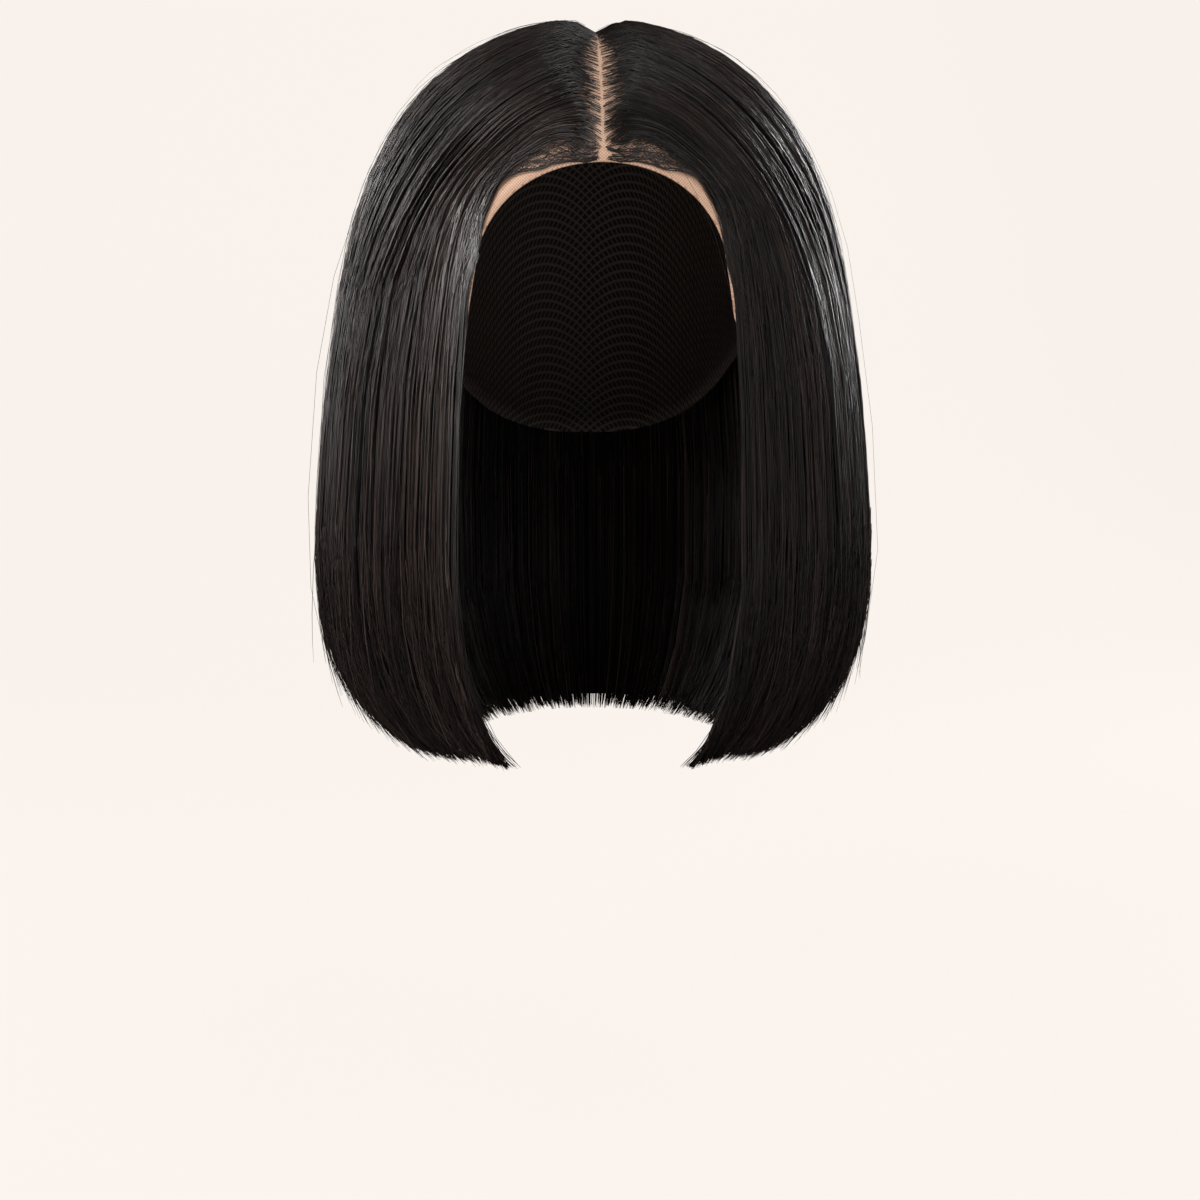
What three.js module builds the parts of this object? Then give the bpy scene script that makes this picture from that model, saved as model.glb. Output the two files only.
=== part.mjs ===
// A straight bob wig with a centre parting, on a lace-front cap.
// Millimetres, +Z up, the face opening towards -Y, the wearer's left towards +X.
// The origin is the point of the cap's inside where the top of the head sits.
import * as THREE from "three";

// The head that the cap fits, as a dome above its widest level.
const HEAD_WIDTH = 152;
const HEAD_LENGTH = 196;
const HEAD_DOME = 105;

// The cap: a sheer lace front that carries the parting, sewn to a stretch net.
const CAP_WALL = 1.2;
const CAP_SEAM_GAP = 0.4;
const LACE_DEPTH = 104; // from the hairline back over the top
const LACE_MARGIN = 4.2; // bare lace in front of the first roots
const RIM_SQUARENESS = 2; // exponent of the lace's front rim: 2 is part of an ellipse

// How far the brushed hair stands out from the head, and how far it hangs.
const TOP_LIFT = 6.5;
const SIDE_FULLNESS = 31.5;
const FRONT_FULLNESS = 10;
const BACK_FULLNESS = 20;
const CHEEK_SETBACK = 10; // beside the face the hair falls behind the line of the forehead
const HAIR_DROP = 297; // from the origin down to the cut ends
const OUTER_LEVEL = 115; // depth at which the outer hair turns from dome to curtain
const INNER_LIFT = 2; // the cut ends of the inner hair sit this much higher

// The parting and the opening for the face.
const HAIRLINE_DEPTH = 55; // middle of the hairline, below the origin
const OPENING_WIDTH = 101; // between the two front edges of the hair, at the head's widest level
const PARTING_WIDTH = 2;

// Hair panels and their locks.
const EDGE_THICKNESS = 1.6; // hair at the hairline and at the parting
const LOCK_RELIEF = 2; // ridge of a lock above the hollow beside it
const PANEL_GAP = 0.35;
const LAYER_GAP = 0.6;
const ROOT_SEAT = 0.5; // from the cap to the roots
const ROOT_CLEARANCE = 1.4; // from the cap to the hair past its roots, where its facets are longer

// Directions over the head, measured from straight ahead, over the top, to straight back.
const CROWN_LEAN = THREE.MathUtils.degToRad(93); // where the parting ends
const WHORL_LEAN = THREE.MathUtils.degToRad(113); // root of the hair at the centre back
const CROWN_SHARE = 0.5; // share of each half's hair that grows along the parting
const HAIRLINE_ARCH = 0.31; // how much rounder the hairline is than a great circle
const ARCH_REACH = 0.3; // share of the half that follows that arch
const DOME_SQUARENESS = 2.1; // exponent of the outer dome: 2 is an ellipsoid
const DOME_TAPER = 0.13; // how much its sides lean in above the widest level

// Where the cheek line passes into the line of the forehead, as shares of the dome's height.
const CHEEK_RISE = { from: 0.1, to: 0.7 };

// Where the hair reaches its full thickness.
const PARTING_RISE = 0.085; // share of the way from the parting to the widest level
const CROWN_RISE = 0.045; // the same at the far end of the parting
const RISE_CHANGE = { from: 0.1, to: 0.4 }; // shares of the half between which it changes
const EDGE_RISE = 0.16; // share of the half, from the front edge
const SEAT_REACH = 0.1; // share of the way along which the roots lift off the cap

// The hair below the widest level, from there to the cut ends. Each column is a share of the
// size at the widest level, apart from drop, which is a share of the way down to the ends.
const CURTAIN = [
  { drop: 0.0, outSide: 1.0, outFront: 1.0, outBack: 1.0, inSide: 1.0, inFront: 1.0, inBack: 1.0 },
  { drop: 0.12, outSide: 1.035, outFront: 0.985, outBack: 1.005, inSide: 1.03, inFront: 0.97, inBack: 0.985 },
  { drop: 0.25, outSide: 1.06, outFront: 0.97, outBack: 1.01, inSide: 1.06, inFront: 0.945, inBack: 0.91 },
  { drop: 0.38, outSide: 1.08, outFront: 0.96, outBack: 1.01, inSide: 1.08, inFront: 0.93, inBack: 0.85 },
  { drop: 0.5, outSide: 1.092, outFront: 0.95, outBack: 1.005, inSide: 1.09, inFront: 0.92, inBack: 0.83 },
  { drop: 0.62, outSide: 1.092, outFront: 0.935, outBack: 0.99, inSide: 1.09, inFront: 0.91, inBack: 0.82 },
  { drop: 0.74, outSide: 1.064, outFront: 0.92, outBack: 0.965, inSide: 1.055, inFront: 0.9, inBack: 0.8 },
  { drop: 0.84, outSide: 1.0, outFront: 0.89, outBack: 0.925, inSide: 0.97, inFront: 0.88, inBack: 0.77 },
  { drop: 0.92, outSide: 0.9, outFront: 0.85, outBack: 0.87, inSide: 0.87, inFront: 0.86, inBack: 0.73 },
  { drop: 0.97, outSide: 0.79, outFront: 0.81, outBack: 0.82, inSide: 0.77, inFront: 0.84, inBack: 0.69 },
  { drop: 1.0, outSide: 0.69, outFront: 0.77, outBack: 0.77, inSide: 0.68, inFront: 0.82, inBack: 0.66 },
];

// Panels of one half, from the front edge (0) round to the centre back (1).
const TOP_PANELS = [
  { name: "hair_front", from: 0.0, to: 0.2, locks: 4, layered: false },
  { name: "hair_temple", from: 0.2, to: 0.4, locks: 3, layered: true },
  { name: "hair_ear", from: 0.4, to: 0.6, locks: 3, layered: true },
  { name: "hair_nape_side", from: 0.6, to: 0.8, locks: 3, layered: true },
  { name: "hair_back", from: 0.8, to: 1.0, locks: 3, layered: true },
];
const UNDER_PANELS = [
  { name: "under_hair_side", from: 0.2, to: 0.6, locks: 6 },
  { name: "under_hair_back", from: 0.6, to: 1.0, locks: 6 },
];

// Stations along the hair: 0 is the root, 1 the widest level and 2 the cut ends.
const DOME_STATIONS = [0, 0.04, 0.09, 0.16, 0.26, 0.37, 0.48, 0.6, 0.73, 0.87];
const CURTAIN_STEPS = 8;
const UNDER_START = 0.6;
const LAYER_SPLIT = { from: 0.45, to: 1.0, depth: 0.5 }; // the top layer thins to this depth
const END_STEP = 0.035; // the hollows between locks end this share of the curtain higher

// The cap's rims, as angles over the head for each angle out from its middle, in degrees.
const CAP_RIMS = [
  { out: 0, nape: 215 },
  { out: 12, nape: 215.5 },
  { out: 24, nape: 216 },
  { out: 36, nape: 216 },
  { out: 48, nape: 214 },
  { out: 60, nape: 208 },
  { out: 68, nape: 201 },
  { out: 76, nape: 190 },
];
const EAR_TAB = { start: 47, drop: -13 }; // the rim drops to here in front of the ear
const CAP_ROWS = 12;
const LACE_ROWS = 6;

const { lerp, smoothstep, degToRad } = THREE.MathUtils;
const HALF_WIDTH = HEAD_WIDTH / 2;
const HALF_LENGTH = HEAD_LENGTH / 2;
const ROOT_OFFSET = CAP_WALL + ROOT_SEAT;
const HAIRLINE_LEAN = Math.asin(1 - HAIRLINE_DEPTH / HEAD_DOME);

// The two faces of the hair: its brushed outer surface and its underside on the cap.
const OUTER = {
  side: HALF_WIDTH + SIDE_FULLNESS,
  front: HALF_LENGTH + FRONT_FULLNESS,
  cheek: HALF_LENGTH - CHEEK_SETBACK,
  back: HALF_LENGTH + BACK_FULLNESS,
  dome: OUTER_LEVEL + TOP_LIFT,
  level: -OUTER_LEVEL,
  ends: -HAIR_DROP,
  squareness: DOME_SQUARENESS,
  taper: DOME_TAPER,
  columns: { side: "outSide", front: "outFront", back: "outBack" },
};
const INNER = {
  side: HALF_WIDTH + ROOT_OFFSET,
  front: HALF_LENGTH + ROOT_OFFSET,
  cheek: HALF_LENGTH + ROOT_OFFSET,
  back: HALF_LENGTH + ROOT_OFFSET,
  dome: HEAD_DOME + ROOT_OFFSET,
  level: -HEAD_DOME,
  ends: -HAIR_DROP + INNER_LIFT,
  squareness: 2,
  taper: 0,
  columns: { side: "inSide", front: "inFront", back: "inBack" },
};
for (const face of [OUTER, INNER]) face.edgeTurn = Math.asin(OPENING_WIDTH / 2 / face.side);

// Reads a table of rows smoothly at any value of its key column.
function tableReader(rows, keyOf) {
  const names = Object.keys(rows[0]);
  const values = rows.flatMap((row) => names.map((name) => row[name]));
  const curve = new THREE.CubicInterpolant(rows.map(keyOf), values, names.length);
  return (key) => {
    const read = curve.evaluate(key);
    return Object.fromEntries(names.map((name, i) => [name, read[i]]));
  };
}
const curtainAt = tableReader(CURTAIN, (row, i) => i / (CURTAIN.length - 1));
const capRimAt = tableReader(CAP_RIMS, (row) => row.out);

// A point on a dome in the given direction from its centre.
function onDome(face, direction) {
  const power = face.squareness;
  const { x, y, z } = direction;
  const reach = (Math.abs(x) ** power + Math.abs(y) ** power + Math.abs(z) ** power) ** (-1 / power);
  const forward = lerp(face.cheek, face.front, smoothstep(z, CHEEK_RISE.from, CHEEK_RISE.to));
  const depth = y < 0 ? forward : face.back;
  const width = face.side * (1 - face.taper * z * (1 - z));
  return new THREE.Vector3(x * width, y * depth, z * face.dome)
    .multiplyScalar(reach)
    .add(new THREE.Vector3(0, 0, face.level));
}

// Where on the parting or the crown a lock grows.
function rootDirection(around) {
  const lean =
    around < CROWN_SHARE
      ? lerp(HAIRLINE_LEAN, CROWN_LEAN, around / CROWN_SHARE)
      : lerp(CROWN_LEAN, WHORL_LEAN, (around - CROWN_SHARE) / (1 - CROWN_SHARE));
  return new THREE.Vector3(0, -Math.cos(lean), Math.sin(lean));
}

// Which way a lock has turned when it reaches the widest level.
function fallDirection(face, around) {
  const turn = lerp(face.edgeTurn, Math.PI, around);
  return new THREE.Vector3(Math.sin(turn), -Math.cos(turn), 0);
}

// A point over the head, from the parting (0) to the widest level (1).
function domePoint(face, around, along) {
  const angle = (along * Math.PI) / 2;
  const arch = HAIRLINE_ARCH * (1 - smoothstep(around, 0, ARCH_REACH)) * Math.sin(2 * angle);
  return onDome(
    face,
    rootDirection(around)
      .multiplyScalar(Math.cos(angle))
      .addScaledVector(fallDirection(face, around), Math.sin(angle))
      .add(new THREE.Vector3(0, 0, arch)),
  );
}

// A point below the widest level, down to the cut ends (1).
function curtainPoint(face, around, down) {
  const row = curtainAt(Math.min(down, 1));
  const direction = fallDirection(face, around);
  const scaled = {
    ...face,
    side: face.side * row[face.columns.side],
    cheek: face.cheek * row[face.columns.front],
    back: face.back * row[face.columns.back],
    level: lerp(face.level, face.ends, row.drop),
  };
  return onDome(scaled, direction);
}

function facePoint(face, around, along) {
  const point = along < 1 ? domePoint(face, around, along) : curtainPoint(face, around, along - 1);
  const closing = smoothstep(around, CROWN_SHARE - 0.08, CROWN_SHARE);
  point.x += lerp(PARTING_WIDTH, PANEL_GAP, closing) / 2;
  return point;
}

// How full the hair is: thin at the hairline and along the parting, 1 elsewhere.
function fullness(around, along) {
  const closing = smoothstep(around, CROWN_SHARE - 0.08, CROWN_SHARE + 0.08);
  const change = smoothstep(around, RISE_CHANGE.from, RISE_CHANGE.to);
  const rise = lerp(PARTING_RISE, CROWN_RISE, change);
  const fromParting = lerp(smoothstep(along, 0, rise), 1, closing);
  return fromParting * smoothstep(around, 0, EDGE_RISE);
}

// A point inside the hair: depth 0 is the brushed surface, 1 the underside.
function hairPoint(around, along, depth) {
  const inner = facePoint(INNER, around, along);
  const outer = facePoint(OUTER, around, along);
  const full = inner.distanceTo(outer);
  const thickness = lerp(Math.min(EDGE_THICKNESS, full), full, fullness(around, along));
  const lift = (ROOT_CLEARANCE - ROOT_SEAT) * smoothstep(along, 0, SEAT_REACH);
  return inner.lerp(outer, lerp(thickness + lift, lift, depth) / full);
}

// Depth at which the top layer ends and the under layer begins.
function layerDepth(along) {
  const split = smoothstep(along, LAYER_SPLIT.from, LAYER_SPLIT.to);
  return lerp(1, LAYER_SPLIT.depth, split);
}

// Places round and along a panel: two columns for each lock, ridge and hollow in turn.
function panelColumns(panel) {
  const count = 2 * panel.locks;
  return Array.from({ length: count + 1 }, (_, i) => ({
    around: lerp(panel.from, panel.to, i / count),
    ridge: i % 2,
    edge: i === 0 ? 1 : i === count ? -1 : 0,
  }));
}
function stationsFrom(start) {
  const curtain = Array.from({ length: CURTAIN_STEPS + 1 }, (_, i) => 1 + i / CURTAIN_STEPS);
  return [...DOME_STATIONS.filter((station) => station >= start), ...curtain];
}

// One surface of a panel as a grid of points, held off its neighbours by half the panel gap.
function panelSurface(columns, stations, depthAt, relief) {
  return stations.map((station) =>
    columns.map(({ around, ridge, edge }) => {
      const ends = 1 - END_STEP * (1 - ridge);
      const along = station < 1 ? station : 1 + (station - 1) * ends;
      const depth = depthAt(station, around);
      const point = hairPoint(around, along, depth);
      const outward = point.clone().sub(hairPoint(around, along, depth + 1)).normalize();
      const growth = smoothstep(station, 0.1, 1) * smoothstep(around, 0, EDGE_RISE);
      point.addScaledVector(outward, relief * growth * (ridge - 0.5));
      if (edge) {
        const step = 0.001 * edge;
        const beside = hairPoint(around + step, along, depth).sub(hairPoint(around, along, depth));
        point.addScaledVector(beside.normalize(), PANEL_GAP / 2);
      }
      return point;
    }),
  );
}

// A closed wall between the first and the last of some grids that match row by row. Its rim
// passes through the grids between them.
function wallGeometry(...layers) {
  const rows = layers[0].length;
  const columns = layers[0][0].length;
  const index = [];
  const points = layers.flat(2);
  const quad = (a, b, c, d) => index.push(a, b, c, a, c, d);
  const shortQuad = (a, b, c, d) => {
    const across = points[a].distanceTo(points[c]) - points[b].distanceTo(points[d]);
    if (across > 0.01) quad(b, c, d, a);
    else quad(a, b, c, d);
  };
  const at = (layer, row, column) => (layer * rows + row) * columns + column;
  const last = { layer: layers.length - 1, row: rows - 1, column: columns - 1 };
  for (let r = 0; r < last.row; r++) {
    for (let c = 0; c < last.column; c++) {
      shortQuad(at(0, r, c), at(0, r + 1, c), at(0, r + 1, c + 1), at(0, r, c + 1));
      const inside = (row, column) => at(last.layer, row, column);
      shortQuad(inside(r, c), inside(r, c + 1), inside(r + 1, c + 1), inside(r + 1, c));
    }
  }
  for (let k = 0; k < last.layer; k++) {
    for (let r = 0; r < last.row; r++) {
      quad(at(k, r, 0), at(k + 1, r, 0), at(k + 1, r + 1, 0), at(k, r + 1, 0));
      const edge = (layer, row) => at(layer, row, last.column);
      quad(edge(k, r), edge(k, r + 1), edge(k + 1, r + 1), edge(k + 1, r));
    }
    for (let c = 0; c < last.column; c++) {
      quad(at(k, 0, c), at(k, 0, c + 1), at(k + 1, 0, c + 1), at(k + 1, 0, c));
      const end = (layer, column) => at(layer, last.row, column);
      quad(end(k, c), end(k + 1, c), end(k + 1, c + 1), end(k, c + 1));
    }
  }
  const geometry = new THREE.BufferGeometry().setFromPoints(points);
  geometry.setIndex(index);
  return geometry;
}

// The same geometry on the other side of the head, with its faces turned to point outwards.
function mirrored(geometry) {
  const copy = geometry.clone().scale(-1, 1, 1);
  const index = copy.index.array;
  for (let i = 0; i < index.length; i += 3) [index[i + 1], index[i + 2]] = [index[i + 2], index[i + 1]];
  return copy;
}

function topPanelGeometry(panel) {
  const columns = panelColumns(panel);
  const stations = stationsFrom(0);
  const outer = panelSurface(columns, stations, () => 0, LOCK_RELIEF);
  const middle = panelSurface(columns, stations, layerDepth, 0);
  const inner = panelSurface(columns, stations, () => 1, 0);
  return panel.layered ? wallGeometry(outer, middle) : wallGeometry(outer, middle, inner);
}

function underPanelGeometry(panel) {
  const columns = panelColumns(panel);
  const stations = stationsFrom(UNDER_START);
  const below = (along, around) => {
    const thickness = hairPoint(around, along, 0).distanceTo(hairPoint(around, along, 1));
    return layerDepth(along) + LAYER_GAP / thickness;
  };
  const outer = panelSurface(columns, stations, below, 0);
  const inner = panelSurface(columns, stations, () => 1, LOCK_RELIEF);
  return wallGeometry(outer, inner);
}

// A point of the cap: lean runs over the head from front to back, out from its middle to an ear.
function capPoint(lean, out, offset) {
  const direction = new THREE.Vector3(
    Math.sin(out),
    -Math.cos(out) * Math.cos(lean),
    Math.cos(out) * Math.sin(lean),
  );
  const head = {
    side: HALF_WIDTH + offset,
    front: HALF_LENGTH + offset,
    cheek: HALF_LENGTH + offset,
    back: HALF_LENGTH + offset,
    dome: HEAD_DOME + offset,
    level: -HEAD_DOME,
    squareness: 2,
    taper: 0,
  };
  return onDome(head, direction);
}

// The front rim follows the hairline, then drops to a tab in front of the ear.
function frontRimLean(out) {
  const openingOut = Math.asin(Math.min(1, OPENING_WIDTH / 2 / HALF_WIDTH));
  const across = Math.min(1, Math.abs(out) / openingOut);
  const rise = Math.sin(HAIRLINE_LEAN) * Math.sqrt(1 - across ** RIM_SQUARENESS);
  const hairline = Math.asin(rise / Math.cos(out)) - LACE_MARGIN / HALF_LENGTH;
  const tab = smoothstep(Math.abs(out), degToRad(EAR_TAB.start - 9), degToRad(EAR_TAB.start));
  return lerp(hairline, degToRad(EAR_TAB.drop), tab);
}
function seamLean(out) {
  const rim = frontRimLean(out);
  const ear = degToRad(CAP_RIMS.at(-1).out);
  const narrowing = 1 - 0.72 * smoothstep(Math.abs(out), degToRad(8), ear);
  return rim + (LACE_DEPTH / HALF_LENGTH) * narrowing;
}

// A strip of the cap between two rims, from ear to ear.
function capStripGeometry(fromLean, toLean, rowCount) {
  const rims = CAP_RIMS.map(({ out }) => out);
  const halfway = rims.slice(1).map((out, i) => (out + rims[i]) / 2);
  const half = [...rims, ...halfway].sort((a, b) => a - b);
  const outs = [...half.toReversed(), ...half.slice(1).map((out) => -out)];
  const surface = (offset) =>
    Array.from({ length: rowCount + 1 }, (_, row) =>
      outs.map((degrees) => {
        const out = degToRad(degrees);
        return capPoint(lerp(fromLean(out), toLean(out), row / rowCount), out, offset);
      }),
    );
  return wallGeometry(surface(CAP_WALL), surface(0));
}

const hair = new THREE.MeshStandardMaterial({ color: 0x1d1817, roughness: 0.42, metalness: 0 });
const underHair = new THREE.MeshStandardMaterial({ color: 0x120f0e, roughness: 0.55, metalness: 0 });
const lace = new THREE.MeshStandardMaterial({ color: 0xb98c6c, roughness: 0.8, metalness: 0 });
const net = new THREE.MeshStandardMaterial({ color: 0x1a1614, roughness: 0.85, metalness: 0 });

function piece(name, geometry, material) {
  const mesh = new THREE.Mesh(geometry, material);
  mesh.name = name;
  return mesh;
}

function bothSides(name, geometry, material) {
  return [piece(name + "_left", geometry, material), piece(name + "_right", mirrored(geometry), material)];
}

function buildCap() {
  const halfGap = CAP_SEAM_GAP / 2 / HALF_LENGTH;
  const cap = new THREE.Group();
  cap.add(
    piece(
      "lace_front",
      capStripGeometry(frontRimLean, (out) => seamLean(out) - halfGap, LACE_ROWS),
      lace,
    ),
    piece(
      "cap_net",
      capStripGeometry(
        (out) => seamLean(out) + halfGap,
        (out) => degToRad(capRimAt(Math.abs(THREE.MathUtils.radToDeg(out))).nape),
        CAP_ROWS,
      ),
      net,
    ),
  );
  return cap;
}

function buildHair() {
  const group = new THREE.Group();
  for (const panel of TOP_PANELS) group.add(...bothSides(panel.name, topPanelGeometry(panel), hair));
  for (const panel of UNDER_PANELS) group.add(...bothSides(panel.name, underPanelGeometry(panel), underHair));
  return group;
}

const wig = new THREE.Group();
wig.add(buildCap(), buildHair());

export default wig;
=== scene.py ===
"""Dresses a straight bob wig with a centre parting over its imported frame.

The hair is combed from the parting over the head and hangs in a level curtain. One law gives
any point of it from three shares: around, from the front edge of one half to its centre back;
along, from the root (0) over the widest level (1) to the cut ends (2); and depth, from the
brushed surface (0) to the side that lies on the cap (1).
"""

from __future__ import annotations

import logging
import math
from dataclasses import dataclass, field
from enum import Enum

import bpy
import numpy as np
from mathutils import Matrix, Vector

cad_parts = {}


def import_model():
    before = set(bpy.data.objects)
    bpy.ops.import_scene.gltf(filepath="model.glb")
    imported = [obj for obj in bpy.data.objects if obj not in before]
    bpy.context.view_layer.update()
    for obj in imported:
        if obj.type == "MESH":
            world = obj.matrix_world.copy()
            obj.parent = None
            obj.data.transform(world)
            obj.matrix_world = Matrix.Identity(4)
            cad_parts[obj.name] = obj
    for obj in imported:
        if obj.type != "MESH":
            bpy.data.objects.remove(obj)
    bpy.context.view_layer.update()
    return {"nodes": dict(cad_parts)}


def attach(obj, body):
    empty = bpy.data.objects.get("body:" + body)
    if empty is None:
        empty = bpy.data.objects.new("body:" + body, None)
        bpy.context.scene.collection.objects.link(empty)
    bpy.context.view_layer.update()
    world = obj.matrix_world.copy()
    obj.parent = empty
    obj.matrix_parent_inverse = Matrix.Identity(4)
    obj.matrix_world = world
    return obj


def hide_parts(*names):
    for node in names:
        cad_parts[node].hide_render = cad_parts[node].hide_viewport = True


log = logging.getLogger("bob_wig")

MM = 0.001
BAKE_UV = "OFBake"


class Side(Enum):
    """The wearer's two sides, with the sign of X on each."""

    LEFT = 1
    RIGHT = -1

    @property
    def word(self) -> str:
        """The side's word in a node's name."""
        return self.name.lower()


def smoothstep(value: np.ndarray, low: float, high: float) -> np.ndarray:
    """Eases from 0 at low to 1 at high."""
    share = np.clip((np.asarray(value) - low) / (high - low), 0.0, 1.0)
    return share * share * (3.0 - 2.0 * share)


def mix(start: np.ndarray, end: np.ndarray, share: np.ndarray) -> np.ndarray:
    """Mixes two values in proportion."""
    return start + (end - start) * share


def unit(vectors: np.ndarray) -> np.ndarray:
    """Scales vectors to length 1."""
    return vectors / np.maximum(np.linalg.norm(vectors, axis=-1, keepdims=True), 1e-12)


def read_column(rows: tuple[float, ...], share: np.ndarray) -> np.ndarray:
    """Reads evenly spaced rows smoothly.

    Args:
        rows: The column's values, from the first row to the last.
        share: Where to read, from 0 at the first row to 1 at the last.

    Returns:
        The value at each share.
    """
    first, last = 2 * rows[0] - rows[1], 2 * rows[-1] - rows[-2]
    padded = np.array([first, *rows, last])
    place = np.clip(share, 0.0, 1.0) * (len(rows) - 1)
    row = np.minimum(place.astype(int), len(rows) - 2)
    t = place - row
    a, b, c, d = (padded[row + k] for k in range(4))
    bend = 2 * a - 5 * b + 4 * c - d
    return 0.5 * (2 * b + (c - a) * t + bend * t**2 + (3 * b - a - 3 * c + d) * t**3)


# The hair below the widest level, from there to the cut ends, as shares of the sizes there.
CURTAIN: dict[str, tuple[float, ...]] = {
    "drop": (0.0, 0.12, 0.25, 0.38, 0.5, 0.62, 0.74, 0.84, 0.92, 0.97, 1.0),
    "out_side": (1.0, 1.035, 1.06, 1.08, 1.092, 1.092, 1.064, 1.0, 0.9, 0.79, 0.69),
    "out_front": (1.0, 0.985, 0.97, 0.96, 0.95, 0.935, 0.92, 0.89, 0.85, 0.81, 0.77),
    "out_back": (1.0, 1.005, 1.01, 1.01, 1.005, 0.99, 0.965, 0.925, 0.87, 0.82, 0.77),
    "in_side": (1.0, 1.03, 1.06, 1.08, 1.09, 1.09, 1.055, 0.97, 0.87, 0.77, 0.68),
    "in_front": (1.0, 0.97, 0.945, 0.93, 0.92, 0.91, 0.9, 0.88, 0.86, 0.84, 0.82),
    "in_back": (1.0, 0.985, 0.91, 0.85, 0.83, 0.82, 0.8, 0.77, 0.73, 0.69, 0.66),
}


# Where the cheek line passes into the line of the forehead, as shares of the dome's height.
CHEEK_RISE = (0.1, 0.7)


@dataclass(frozen=True)
class HairFace:
    """One face of the hair, as a dome that passes into a curtain. Lengths are in metres."""

    side: float
    front: float
    cheek: float
    back: float
    dome: float
    level: float
    ends: float
    squareness: float
    taper: float
    opening: float
    columns: str

    def on_dome(self, direction: np.ndarray, scale: dict[str, np.ndarray] | None = None) -> np.ndarray:
        """Finds where a direction from the face's centre meets it.

        Args:
            direction: Directions, of any length.
            scale: Shares of the sides, cheeks and back, and the level, below the widest level.

        Returns:
            The points, in metres.
        """
        direction = unit(direction)
        x, y, z = (direction[..., k] for k in range(3))
        power = self.squareness
        reach = (np.abs(x) ** power + np.abs(y) ** power + np.abs(z) ** power) ** (-1 / power)
        rise = smoothstep(z, *CHEEK_RISE)
        scale = scale or {"side": 1.0, "cheek": 1.0, "back": 1.0, "level": self.level}
        forward = mix(self.cheek * scale["cheek"], self.front, rise)
        depth = np.where(y < 0, forward, self.back * scale["back"])
        width = self.side * scale["side"] * (1 - self.taper * z * (1 - z))
        return np.stack(
            [x * width * reach, y * depth * reach, z * self.dome * reach + scale["level"]], axis=-1
        )


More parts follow.
